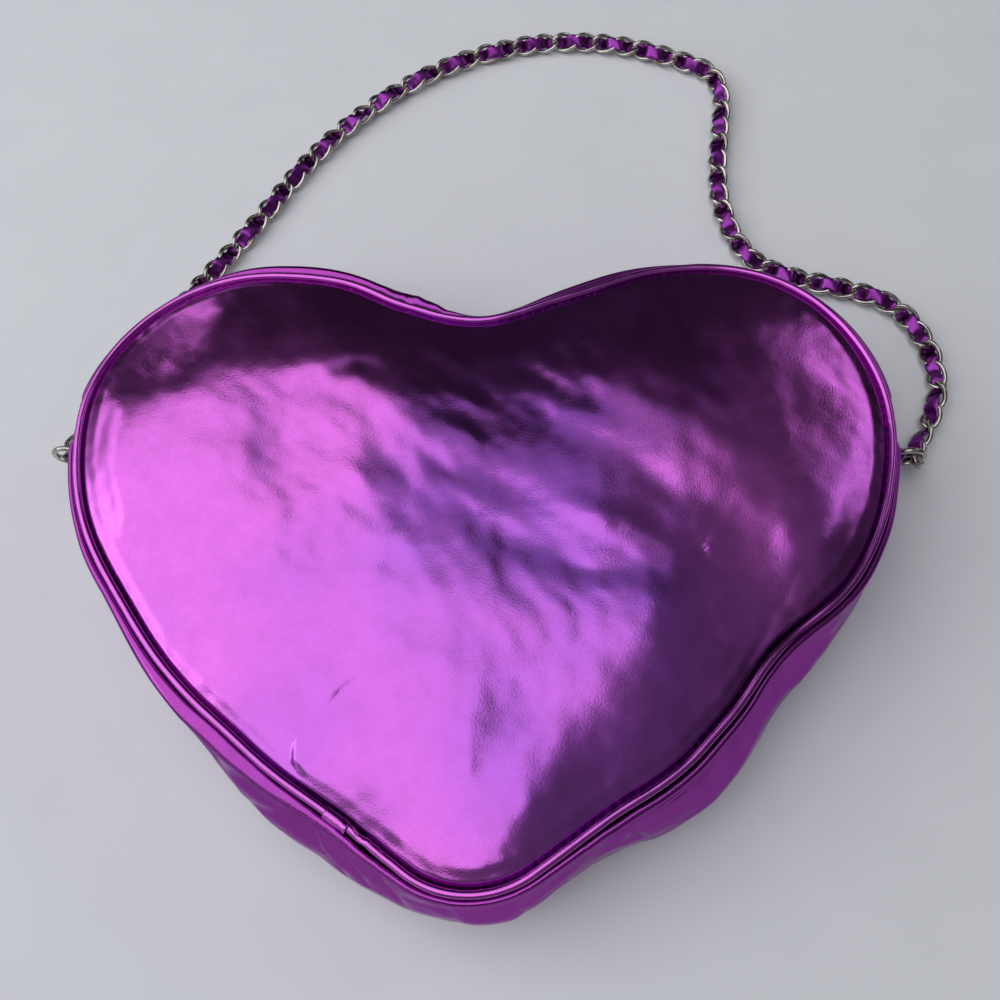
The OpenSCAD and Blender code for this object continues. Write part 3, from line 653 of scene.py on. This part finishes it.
# Soft hills and hollows of the front panel: x, y, half length, half width, turn in degrees, height
SWELLS = [(-95, 55, 60, 22, 20, 1.2), (-30, 50, 40, 12, -38, 1.2), (48, 66, 40, 15, -45, 0.5),
          (110, 10, 22, 60, 8, 1.3), (40, -8, 34, 10, -8, -0.8), (-75, -5, 50, 26, -20, 1.0),
          (-10, -55, 60, 24, 60, 1.1), (42, -52, 50, 13, 48, 1.0), (20, 26, 30, 9, -30, 0.8),
          (86, -15, 26, 14, 70, -0.9), (20, -90, 12, 34, -12, 0.9), (-44, 24, 26, 10, -55, 0.7),
          (100, -32, 20, 7, 60, -1.3), (-128, 30, 16, 40, 0, 0.6)]
# Sharp creases: points along the line, depth, half width, and the step in height from one side to the other
CREASES = [
    ([(-51, -68), (-48, -61), (-43, -54), (-39, -51), (-34, -48), (-27, -50)], -0.5, 1.6, 1.0),
    ([(-56, -66), (-58, -71), (-58, -76), (-55, -81)], -0.8, 1.2, 0.7),
    ([(83, 5), (77, -3), (78, -7), (85, -14)], -0.25, 0.9, 0.35),
    ([(22, -9), (34, -13), (46, -14), (57, -11)], -0.45, 4.5, -0.2),
    ([(-135, 24), (-130, 15), (-128, 6), (-130, -2)], -0.2, 2.6, 0.35),
    ([(103, -23), (97, -33), (89, -45)], -0.4, 2.5, 0.5),
    ([(103, -23), (110, -26), (117, -24)], -0.4, 1.6, 0.4),
    ([(-64, 60), (-46, 68), (-30, 64)], -0.4, 4.0, 0.3)]


def crease_height(x, y, line, depth, width, step):
    """A thin trough along a line of points, with a small step across it that dies away within a few
    widths, and both fade out at the line's ends."""
    line = np.asarray(line, float)
    best = np.full(np.shape(x), 1e9)
    side = np.zeros(np.shape(x))
    fade = np.zeros(np.shape(x))
    count = len(line) - 1
    for k in range(count):
        a, d = line[k], line[k + 1] - line[k]
        t = np.clip(((x - a[0]) * d[0] + (y - a[1]) * d[1]) / (d @ d), 0, 1)
        gx, gy = x - a[0] - t * d[0], y - a[1] - t * d[1]
        gap = np.hypot(gx, gy)
        nearer = gap < best
        best = np.where(nearer, gap, best)
        side = np.where(nearer, np.sign(d[0] * gy - d[1] * gx), side)
        fade = np.where(nearer, np.sin(np.pi * np.clip((k + t) / count, 0.04, 0.96)), fade)
    across = side * (1 - np.exp(-best / width)) * np.exp(-best / (5 * width))
    return fade * (depth * bell(best, width) + step * across)


def panel_height(x, y, d):
    """Height of the front panel's outer face: it leaves the seam steeply beside the piping, rounds
    over and flattens towards the middle, and carries swells, creases, cloth buckles and small puckers
    that run in from the seam."""
    z = 48.7 + 2.1 * (1 - np.exp(-(d / 0.65) ** 1.6)) + 9 * (1 - np.exp(-(d / 25) ** 1.45))
    settle = smooth_step(d / 16)
    for cx, cy, long, wide, turn, rise in SWELLS:
        a = math.radians(turn)
        u = (x - cx) * math.cos(a) + (y - cy) * math.sin(a)
        v = -(x - cx) * math.sin(a) + (y - cy) * math.cos(a)
        z = z + rise * settle * np.exp(-(u / long) ** 2 - (v / wide) ** 2)
    for line, depth, width, step in CREASES:
        z = z + crease_height(x, y, line, depth, width, step) * smooth_step(d / 4)
    z = z + 0.5 * settle * waves(x, y, 5, 9, 30, 90)
    handled = settle * (0.35 + 0.65 * bell(np.hypot(x + 20, y - 25), 85))
    z = z + handled * (0.13 * waves(x, y, 6, 12, 9, 22) + 0.03 * waves(x, y, 10, 16, 4, 9))
    along, across = (x - y) * 0.707, (x + y) * 0.707
    z = z + 0.12 * settle * bell(np.hypot(x - 8, y - 45), 65) * waves(along * 0.4, across, 9, 14, 7, 17)
    z = z + sample_folds(x, y) * smooth_step(d / 6)
    return z + 0.09 * waves(x, y, 8, 14, 5, 13) * np.exp(-d / 7) * smooth_step(d / 2)


PANEL_MID = np.array([0.0, 6.0])


def heart_sheet(name, height, inset, thickness, stations, rings, material):
    """A closed sheet over the heart. Rings shrink from the seam to the middle, closer together near
    the seam, and height(x, y, d) gives its upper face. The lower face is the upper one moved down."""
    point, normal = seam_at(np.linspace(0, LOOP_LEN, stations, endpoint=False))
    edge = point - normal * inset
    r = 1 - (1 - np.linspace(1, 0, rings + 1)[:-1]) ** 1.7
    flat = PANEL_MID + (edge - PANEL_MID)[None, :, :] * r[:, None, None]
    d = distance_inside(flat[..., 0], flat[..., 1], inset)
    d[0] = 0
    z = height(flat[..., 0], flat[..., 1], d)
    upper = np.concatenate([flat, z[..., None]], 2)
    lower = upper - [0, 0, thickness]
    mid_x, mid_y = PANEL_MID[0:1], PANEL_MID[1:2]
    mid_z = float(height(mid_x, mid_y, distance_inside(mid_x, mid_y, inset))[0])
    grid = np.concatenate([upper[::-1], lower], 0)
    quads = grid_quads(2 * rings, stations, False)[0]
    tops = np.array([[*PANEL_MID, mid_z], [*PANEL_MID, mid_z - thickness]])
    base = 2 * rings * stations
    k = np.arange(stations)
    after = (k + 1) % stations
    last = (2 * rings - 1) * stations
    fans = np.vstack([np.stack([k, after, np.full(stations, base)], 1),
                      np.stack([last + after, last + k, np.full(stations, base + 1)], 1)])
    points = np.vstack([grid.reshape(-1, 3), tops])
    uv = np.concatenate([points[quads.ravel()][:, :2], points[fans.ravel()][:, :2]]) * MM
    return put_mesh(name, points, quads, fans, uv=uv, material=material)


def rides(piece, slot_name, *nodes):
    """The piece rides on the purse's body and stands for these CAD nodes. slot_name is not used."""
    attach(piece, "purse")
    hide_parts(*nodes)
    return piece


def shade_seam(piece):
    """Marks how close each point is to the seam, 1 in the groove and 0 a few millimetres in: painted shade
    that darkens the foil in the groove beside the piping. The mark reaches further in at two places, where the
    painted shade is wider."""
    mesh = piece.data
    at = np.empty(len(mesh.vertices) * 3, np.float32)
    mesh.vertices.foreach_get("co", at)
    x, y = at.reshape(-1, 3)[:, :2].T / MM
    reach = 0.7 + 1.8 * bell(np.hypot(x - 88, y + 56), 30) + 2.2 * bell(np.hypot(x + 43, y + 86), 11)
    near = np.exp(-(distance_inside(x, y) / reach) ** 2).astype(np.float32)
    mesh.attributes.new("seam_shade", "FLOAT", "POINT").data.foreach_set("value", near)


front_panel = rides(heart_sheet("front_panel_skin", panel_height, 1.7, LEATHER_T, 620, 84, PANEL_FOIL),
                    "foil_leather", "front_panel")
shade_seam(front_panel)
rides(heart_sheet("front_foam", lambda x, y, d: panel_height(x, y, d + 1.5) - 1.15, 3.2, 2.1, 240, 30, FOAM),
      "foam", "front_padding")
rides(heart_sheet("front_lining_cloth", lambda x, y, d: panel_height(x, y, d + 1.7) - 3.5, 3.4, LINING_T,
                  240, 30, LINING), "lining", "front_lining")


def back_height(x, y, d):
    """Inner face of the back panel: flat on the table, with low ripples, and lifted at its edge."""
    ripple = 0.25 * (1 + waves(x, y, 21, 10, 14, 60)) * smooth_step(d / 10)
    return 1.05 + ripple + 1.1 * np.exp(-(d / 3.0) ** 1.5)


rides(heart_sheet("back_panel_skin", back_height, 1.7, LEATHER_T, 420, 40, PANEL_FOIL),
      "foil_leather", "back_panel")
rides(heart_sheet("back_foam", lambda x, y, d: 3.6 + 0 * d, 9.0, 2.0, 160, 12, FOAM), "foam", "back_padding")
rides(heart_sheet("back_lining_cloth", lambda x, y, d: 4.5 + 0.35 * (1 + waves(x, y, 22, 10, 25, 70)),
                  6.0, LINING_T, 200, 24, LINING), "lining", "back_lining")


# ---------------------------------------------------------------- side band
def side_bulge(y):
    """How far the band stands out at half its height: least over the lobes and hips, most low on the
    sides, and less again at the tip."""
    tip_ease = 1 - TIP_SHARE * smooth_step((TIP_Y - 4 - y) / (TIP_R - 6))
    return TOP_BULGE + (LOW_BULGE - TOP_BULGE) * smooth_step((LOW_START - y) / LOW_RUN) * tip_ease


# Where the lower band stands out more or less than that: x, y, reach, how much at half its height
FULLER = [(-118, -31, 20, 1.8), (-86, -60, 20, -2.4), (-28, -103, 16, 2.2), (42, -94, 22, -3.2),
          (12, -113, 12, 1.0), (84, -60, 18, 2.2), (106, -36, 20, 6.2)]


def band_offset(s, z):
    """Outward offset of the band's outer face at rows s and heights z: bulge (1 - |2u - 1| ** 2.4), and
    the places that are fuller or slacker as a half sine over the height."""
    x, y = seam_at(s)[0].T
    u = (z - BAND_LO) / (BAND_HI - BAND_LO)
    extra = sum(a * bell(np.hypot(x - px, y - py), w) for px, py, w, a in FULLER)
    swell = extra[:, None] * np.sin(np.pi * np.clip(u, 0, 1))
    return side_bulge(y)[:, None] * (1 - np.abs(2 * u - 1) ** 2.4) + swell


def inner_face(offset, z, thickness):
    """The outer face's profile moved in by the thickness, square to the profile at each point."""
    do, dz = np.gradient(offset, axis=1), np.gradient(z, axis=1)
    size = np.hypot(do, dz)
    turn = np.sign(np.sum(-dz))
    return offset - turn * thickness * -dz / size, z - turn * thickness * do / size


def band_piece(name, s, offset, z, thickness, material):
    """A piece of the band from its outer face: rows at distances s, columns down the face."""
    inner_o, inner_z = inner_face(offset, z, thickness)
    grid = np.concatenate([band(s, offset, z), band(s, inner_o, inner_z)[:, ::-1]], 1)
    step = np.hypot(np.diff(offset[0]), np.diff(z[0]))
    down = np.r_[0, np.cumsum(step)]
    round_uv = np.r_[down, down[-1] + thickness + down, 2 * down[-1] + 2 * thickness]
    return surface(name, grid, row_uv=s, column_uv=round_uv, material=material)


# The leather's turned edge beside the piping, from the seam outwards: offset and height
ROLL = np.array([(-0.9, 46.6), (0.2, 47.2), (1.3, 48.0), (1.95, 48.8), (2.5, 49.4), (3.4, 49.8),
                 (4.4, 49.45), (5.0, 48.4), (5.1, 47.2), (4.8, 46.2)])


def rolled_profile(s, z_end, roll, columns, shoulder=0.0):
    """Outer face of a band piece from the front seam down to z_end: the turned edge's little roll, times
    roll, widened by the shoulder on its outer side, then the bulge, which leaves the roll's end and meets
    its own line within a few millimetres."""
    points = 19
    t = np.linspace(0, 1, points) * (len(ROLL) - 1)
    edge = np.stack([np.interp(t, np.arange(len(ROLL)), ROLL[:, k]) for k in (0, 1)])
    edge[:, 1:-1] = (edge[:, :-2] + 2 * edge[:, 1:-1] + edge[:, 2:]) / 4
    top_z = np.broadcast_to(edge[1], (len(s), points))
    flat = band_offset(s, top_z)
    keep = roll[:, None]
    top_o = edge[0] * keep + (np.maximum(flat, 0) + edge[0].clip(max=0)) * (1 - keep)
    shoulder = np.reshape(shoulder, (-1, 1))
    top_o = top_o + shoulder * np.interp(t, [5, 6, 7, 8], [0, 0.4, 0.9, 1])
    top_z = top_z + shoulder * np.interp(t, [5, 6, 7, 8, 9], [0, 0.02, 0.15, 0.1, 0])
    low_z = ROLL[-1, 1] + (z_end[:, None] - ROLL[-1, 1]) * np.linspace(0, 1, columns)[1:] ** 1.1
    low_o = band_offset(s, low_z)
    start = band_offset(s, np.full((len(s), 1), ROLL[-1, 1]))
    low_o = low_o + (top_o[:, -1:] - start) * np.exp(-(ROLL[-1, 1] - low_z) / 4.5)
    return np.hstack([top_o, low_o]), np.hstack([top_z, low_z])


def unevenness(s, z, seed, low, high, amount):
    """Soft waves over the band, of lengths from low to high."""
    return amount * waves(s[:, None] + 0 * z, z * 1.6, seed, 14, low, high)


def from_ends(s, start, stop, reach):
    """0 at both ends of a piece that runs from start to stop, and 1 from the reach inwards."""
    return smooth_step(np.minimum(s - start, stop - s) / reach)


def way_line(points):
    """A fold's line from places given by a point near the seam and a height."""
    return [(nearest_way(x, y), z) for x, y, z in points]


# Folds in the lower side band: line as x and y near the seam and height, depth, half width, step
BAND_FOLDS = [
    ([(-48, -90, 47), (-46, -92, 41), (-40, -95, 34), (-34, -100, 28)], -0.8, 2.2, 1.3),
    ([(-39, -96, 47), (-36, -99, 43), (-31, -102, 38), (-26, -105, 32)], -0.8, 2.0, 1.2),
    ([(-55, -84, 46), (-57, -82, 40), (-62, -78, 34), (-68, -73, 30)], -0.8, 2.2, 0.9),
    ([(-72, -70, 40), (-80, -62, 35), (-90, -55, 33)], -0.7, 2.4, 0.9),
    ([(-25, -106, 46), (-21, -109, 38), (-16, -111, 28)], -0.7, 1.8, 0.7),
    ([(-6, -114, 46), (-5, -115, 38), (-2, -115, 24)], -0.6, 2.2, 0.6),
    ([(14, -112, 46), (13, -112, 36), (15, -111, 22)], -0.6, 2.0, -0.6),
    ([(38, -98, 46), (42, -95, 40), (49, -90, 36)], -0.9, 1.8, 0.9),
    ([(46, -92, 44), (50, -89, 38), (52, -87, 30)], -0.8, 1.5, 0.8),
    ([(114, -32, 47), (116, -30, 40), (121, -22, 34), (128, -12, 31)], -0.6, 2.6, -0.7),
    ([(103, -45, 46), (100, -48, 42), (94, -54, 40)], -0.5, 1.8, 0.5),
    ([(135, -2, 42), (140, 10, 37), (144, 22, 36)], -0.8, 2.4, 0.7),
    ([(-140, 10, 42), (-135, -5, 38), (-128, -18, 37)], -0.8, 2.8, 0.8)]


def lower_gusset():
    """Gusset along both lower sides: rolled edge, bulge that is fuller above its middle, folds where
    the seam is pinched or joined, and soft unevenness."""
    s = np.linspace(TOP_LEN, LOOP_LEN, 900)
    x, y = seam_at(s)[0].T
    roll = 0.9 + 0.12 * np.sin(s / 23.0) * np.sin(s / 61.0)
    roll = roll * from_ends(s, TOP_LEN, LOOP_LEN, 12)
    shoulder = 3.8 * bell(np.hypot(x + 80, y + 69), 38) * roll
    offset, z = rolled_profile(s, np.full(len(s), BAND_LO - 0.2), roll, 46, shoulder)
    ends = from_ends(s, TOP_LEN, LOOP_LEN, 8)[:, None]
    fade = smooth_step((48.2 - z) / 3) * smooth_step((z - 4.5) / 4) * ends
    offset = offset + fade * (unevenness(s, z, 31, 22, 90, 0.55) + unevenness(s, z, 32, 7, 20, 0.12))
    for line, depth, width, step in BAND_FOLDS:
        offset = offset + crease_height(s[:, None] + 0 * z, z, way_line(line), depth, width, step) * ends
    return band_piece("gusset_skin", s, offset, z, LEATHER_T, SHADED_BAND_FOIL)


rides(lower_gusset(), "foil_leather", "bottom_gusset")


def gape(s):
    """Half opening of the zip: least where it is closed on the tapes, most in the middle of the mouth."""
    through = np.clip((s / TOP_LEN - MOUTH_START) / (1 - MOUTH_START), 0, 1)
    return ROW_GAP + MOUTH_GAPE * np.sin(np.pi * through) ** 2


def front_strip():
    """Strip between the front piping and the zip. Left of the cleft it flares out, because the open
    zip lets it go, and its crest is crinkled."""
    s = np.linspace(0.3, TOP_LEN - 0.3, 620)
    x, y = seam_at(s)[0].T
    far = y > 60
    spread = far * (0.85 * bell(x + 27, 17) + 0.55 * bell(x + 62, 26) + 0.3 * bell(x + 95, 18)
                    + 0.35 * bell(x - 42, 20))
    roll = (0.62 + 0.15 * np.sin(s / 19.0) + spread) * from_ends(s, 0, TOP_LEN, 12)
    low = ZIP_Z + gape(s) + STRIP_REVEAL
    offset, z = rolled_profile(s, low, roll, 26)
    crumpled = (far * bell(x + 25, 13))[:, None] * smooth_step((offset - 1.8) / 2.5) * smooth_step((z - 44) / 3)
    z = z + 0.6 * crumpled * (waves(s[:, None] + 0 * z, offset * 0.8, 45, 12, 4, 12) - 0.3)
    flare = far * (3.2 * bell(x + 32, 19) + 1.6 * bell(x + 62, 24) + 0.8 * bell(x + 6, 14))
    height = np.clip((z - low[:, None]) / (BAND_HI - low[:, None]), 0, 1)
    crest = np.sin(np.pi * height ** 0.8) ** 1.5
    crinkle = 1 + 0.16 * waves(s[:, None] + 0 * z, z * 1.2, 41, 10, 5, 14)
    fade = from_ends(s, 0, TOP_LEN, 8)[:, None] * smooth_step((48.2 - z) / 3)
    offset = offset + flare[:, None] * crest * crinkle
    offset = offset + fade * (unevenness(s, z, 42, 18, 60, 0.3) + unevenness(s, z, 43, 6, 15, 0.1))
    return band_piece("front_strip_skin", s, offset, z, LEATHER_T, SHADED_BAND_FOIL)


def back_strip():
    """The same strip on the back's side, low down, without the flare."""
    s = np.linspace(0.3, TOP_LEN - 0.3, 420)
    z = np.linspace(1, 0, 24)[None, :] * (ZIP_Z - gape(s) - STRIP_REVEAL - BAND_LO)[:, None] + BAND_LO
    offset = band_offset(s, z)
    fade = from_ends(s, 0, TOP_LEN, 8)[:, None] * smooth_step((z - BAND_LO) / 3)
    offset = offset + fade * unevenness(s, z, 44, 18, 60, 0.25)
    return band_piece("back_strip_skin", s, offset, z, LEATHER_T, SHADED_BAND_FOIL)


rides(front_strip(), "foil_leather", "front_zip_strip")
rides(back_strip(), "foil_leather", "back_zip_strip")


def hidden_band(name, s, z_high, z_low, inset, thickness, columns, material):
    """A lining or tape inside the band, at an inset from the band's outer face."""
    z = z_low[:, None] + (z_high - z_low)[:, None] * np.linspace(1, 0, columns)
    return band_piece(name, s, band_offset(s, z) - inset, z, thickness, material)


top_s = np.linspace(3, TOP_LEN - 3, 420)
low_s = np.linspace(TOP_LEN + 1, LOOP_LEN - 1, 420)
one = np.ones(420)
front_edge, back_edge = ZIP_Z + gape(top_s), ZIP_Z - gape(top_s)
rides(hidden_band("gusset_lining_cloth", low_s, 44.4 * one, 7.4 * one, 1.65, LINING_T, 12, LINING),
      "lining", "bottom_gusset_lining")
rides(hidden_band("front_strip_lining_cloth", top_s, 44.4 * one, front_edge + 3.6, 2.4, LINING_T, 6, LINING),
      "lining", "front_zip_strip_lining")
rides(hidden_band("back_strip_lining_cloth", top_s, back_edge - 3.6, 7.8 * one, 2.4, LINING_T, 6, LINING),
      "lining", "back_zip_strip_lining")
rides(hidden_band("front_tape_cloth", top_s, front_edge + 6.8, front_edge - 0.2, 1.15, TAPE_T, 6, TAPE),
      "zip_tape", "front_zip_tape")
rides(hidden_band("back_tape_cloth", top_s, back_edge + 0.2, back_edge - 6.8, 1.15, TAPE_T, 6, TAPE),
      "zip_tape", "back_zip_tape")


# ---------------------------------------------------------------- piping
JOIN_FROM, JOIN_TO = nearest_way(-45.5, -91), nearest_way(-38.3, -96)


def piping(name, height, side, rows, lively):
    """Piping with the flat flange that is sewn into the seam. The section is a circle with a flange that
    points in and down (up for the back piping, whose side is -1). Where it is lively the line wanders a
    little, dips at the pinch, and is lumpy after the join."""
    s = np.linspace(0, LOOP_LEN, rows, endpoint=False)
    half_gap = 14
    turn = np.radians(FLANGE_ANGLE + half_gap + (360 - 2 * half_gap) * np.linspace(0, 1, 18))
    tail = np.radians(FLANGE_ANGLE)
    x, y = seam_at(s)[0].T
    lump = np.exp(-((s - JOIN_TO - 5) / 7.0) ** 2) * lively
    uneven = waves(s, 0 * s, 51, 10, 2.5, 9)
    radius = PIPING_R + 0.05 * np.sin(s / 7.3) * np.sin(s / 3.1) + 0.22 * lump * uneven
    half_flange = np.array([1, -1]) * 0.4
    tail_o = np.cos(tail) * FLANGE_LENGTH + half_flange * np.sin(tail)
    tail_z = np.sin(tail) * FLANGE_LENGTH - half_flange * np.cos(tail)
    offset = np.hstack([radius[:, None] * np.cos(turn), np.broadcast_to(tail_o, (rows, 2))])
    rise = np.hstack([radius[:, None] * np.sin(turn), np.broadcast_to(tail_z, (rows, 2))])
    wander_o = PIPING_OUT + lively * (0.15 * np.sin(s / 31.0) + 0.1 * np.sin(s / 11.7)
                                      + 0.3 * lump * waves(s, 0 * s, 52, 8, 4, 12))
    wander_z = lively * (0.2 * np.sin(s / 27.0 + 1) + 0.3 * lump * waves(s, 0 * s, 53, 8, 4, 12)
                         - 2.0 * bell(np.hypot(x - 112, y + 36), 9))
    grid = band(s, offset + wander_o[:, None], side * rise + height + wander_z[:, None])
    return surface(name, grid, wrap_rows=True, row_uv=np.r_[s, LOOP_LEN], column_uv=np.linspace(0, 11, 21),
                   material=PIPING_FOIL)


def piping_sleeve():
    """Short wrap over the piping's join, cut square, with puckers round it."""
    s = np.linspace(JOIN_FROM, JOIN_TO, 26)
    turn = np.linspace(0, 2 * np.pi, 28, endpoint=False)
    u = (s - JOIN_FROM) / (JOIN_TO - JOIN_FROM)
    end = np.where((u < 0.02) | (u > 0.98), -0.12, 0)[:, None]
    later = smooth_step((u - 0.45) / 0.4)[:, None]
    radius = 2.15 + end + later * 0.22 * waves(s[:, None] + 0 * turn, 0 * s[:, None] + turn * 2, 54, 10, 2.5, 7)
    grid = band(s, PIPING_OUT + radius * np.cos(turn), FRONT_Z + radius * np.sin(turn))
    return surface("piping_sleeve", grid, row_uv=s, column_uv=np.linspace(0, 13.5, 29), material=PIPING_FOIL)


rides(piping("front_piping", FRONT_Z, 1, 1300, 1.0),
      "foil_leather", "front_piping_cover", "front_piping_filler")
rides(piping("back_piping", BACK_Z, -1, 900, 0.0),
      "foil_leather", "back_piping_cover", "back_piping_filler")
rides(piping_sleeve(), "foil_leather", "piping_join")


# ---------------------------------------------------------------- strap tabs
def strap_tab(side):
    """A strip of leather folded round the end ring: out from the side seam, round the ring's wire, and
    back on itself. Its width runs up the band. side is 1 for the right tab and -1 for the left."""
    ring_x, ring_y, loop_r, middle_z, half_width = 160.5, 48, 2.45, 20, 4
    turn = np.radians(np.linspace(-118, 118, 25))
    loop = np.stack([ring_x + loop_r * np.cos(turn), ring_y + loop_r * np.sin(turn)], 1)
    lower = np.array([(147.6, 47.35), (150.5, 47.3), (153.5, 47.2), (156.4, 46.7)])
    upper = lower[::-1] * [1, -1] + [0, 2 * ring_y]
    line = np.vstack([lower, loop, upper])
    run = np.gradient(line, axis=0)
    normal = np.stack([run[:, 1], -run[:, 0]], 1) / np.hypot(*run.T)[:, None]
    across = np.linspace(-1, 1, 9)
    height = middle_z + half_width * across + 0 * line[:, :1]
    bow = 0.12 * (1 - across ** 2)
    round_edge = 0.45 * np.sqrt(np.clip(1 - across ** 6, 0.1, 1))
    outer = line[:, None, :] + normal[:, None, :] * (round_edge + bow)[None, :, None]
    inner = line[:, None, :] - normal[:, None, :] * (round_edge - bow)[None, :, None]
    grid = np.concatenate([np.dstack([outer, height]), np.dstack([inner, height])[:, ::-1]], 1)
    grid[..., 0] *= side
    way = np.r_[0, np.cumsum(np.hypot(*np.diff(line, axis=0).T))]
    name = "right_strap_tab_leather" if side > 0 else "left_strap_tab_leather"
    return surface(name, grid, row_uv=way, column_uv=np.linspace(0, 17, 19), material=RIBBON_FOIL)


rides(strap_tab(1), "foil_leather", "right_strap_tab")
rides(strap_tab(-1), "foil_leather", "left_strap_tab")

for node in ("zip_slider", "zip_pull_tab", "right_end_ring", "left_end_ring", "front_zip_teeth",
             "back_zip_teeth", "zip_top_stops", "zip_bottom_stop"):
    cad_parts[node].data.materials.clear()
    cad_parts[node].data.materials.append(NICKEL)


def floor_stage():
    """A pale floor under the purse, far wider than the view."""
    material, g, shader, place = new_material("floor")
    mottle = g.mix(g.noise(place["Object"], 30.0, 3.0), (0.80, 0.825, 0.86, 1), (0.86, 0.885, 0.92, 1))
    g.fill(shader, {"Base Color": mottle, "Roughness": 0.9})
    size = 3000
    corners = np.array([(-size, -size, 0), (size, -size, 0), (size, size, 0), (-size, size, 0)], float)
    mesh = bpy.data.meshes.new("floor")
    mesh.from_pydata((corners * MM).tolist(), [], [(0, 1, 2, 3)])
    mesh.materials.append(material)
    piece = bpy.data.objects.new("floor", mesh)
    scene.collection.objects.link(piece)


def soft_lamp(name, place, aim, size, power, colour=(1, 1, 1), turn=0):
    """A square or oblong soft box at a place, turned to face another, in metres, then turned in its own
    plane, in degrees."""
    data = bpy.data.lights.new(name, "AREA")
    data.shape, data.size, data.size_y = "RECTANGLE", size[0], size[1]
    data.energy, data.color = power, colour
    lamp = bpy.data.objects.new(name, data)
    lamp.location = place
    facing = (Vector(aim) - Vector(place)).to_track_quat("-Z", "Y")
    lamp.rotation_euler = (facing @ Quaternion((0, 0, 1), math.radians(turn))).to_euler()
    scene.collection.objects.link(lamp)


def studio():
    """A large soft box overhead and to the left with a wing and a dimmer bluish part beside it, three
    small ones that show along the rim and on the gusset, and a dim room that is lighter towards the
    viewer and the left, and darker beyond the lobes. The camera sees the room as a plain pale wall."""
    warm_white, purse = (1.0, 0.98, 1.0), (0.0, 0.0, 0.05)
    soft_lamp("key", (-1.42, -0.44, 2.0), (-1.42, -0.44, 0), (3.5, 2.12), 32, warm_white)
    soft_lamp("key_wing", (-1.5, 1.01, 2.0), (-1.5, 1.01, 0), (2.2, 0.78), 7.8, warm_white)
    soft_lamp("far_glow", (-0.02, 1.01, 2.0), (-0.02, 1.01, 0), (0.74, 0.78), 0.85, (0.75, 0.84, 1.0))
    soft_lamp("left_low", (-1.78, 0.2, 1.0), purse, (1.9, 0.5), 4.4)
    soft_lamp("right_strip", (1.34, 0.90, 1.17), purse, (1.15, 0.34), 1.8, (0.95, 0.97, 1.0), -17)
    soft_lamp("left_window", (-1.08, 1.54, 0.74), purse, (0.32, 0.5), 0.6)
    world = bpy.data.worlds.new("room")
    world.use_nodes = True
    g = Graph(world.node_tree)
    axes = g.add("ShaderNodeSeparateXYZ", {0: g.add("ShaderNodeTexCoord").outputs["Generated"]})
    x, y, z = axes.outputs
    level = g.math("MULTIPLY", g.span(y, 0.25, 0.6, 0.17, 0.03), g.span(x, 0.5, 0.8, 1.0, 0.3))
    level = g.math("MULTIPLY", level, g.span(z, 0.0, 0.15, 0.3, 1.0))
    left = g.math("MULTIPLY", g.span(x, -0.3, -0.65, 0.0, 0.6), g.span(y, 0.5, 0.25, 0.0, 1.0))
    low_wall = g.math("MULTIPLY", g.span(z, 0.1, 0.25, 0.0, 1.0), g.span(z, 0.45, 0.6, 1.0, 0.0))
    left = g.math("MULTIPLY", left, low_wall)
    seen = g.add("ShaderNodeLightPath").outputs["Is Camera Ray"]
    level = g.math("MULTIPLY", g.math("ADD", level, left), g.math("SUBTRACT", 1.0, seen))
    g.fill(world.node_tree.nodes["Background"],
           {"Strength": g.math("ADD", level, g.math("MULTIPLY", seen, 0.6)), "Color": (0.93, 0.95, 1.0, 1)})
    scene.world = world


floor_stage()
studio()
scene.view_settings.view_transform = "Standard"
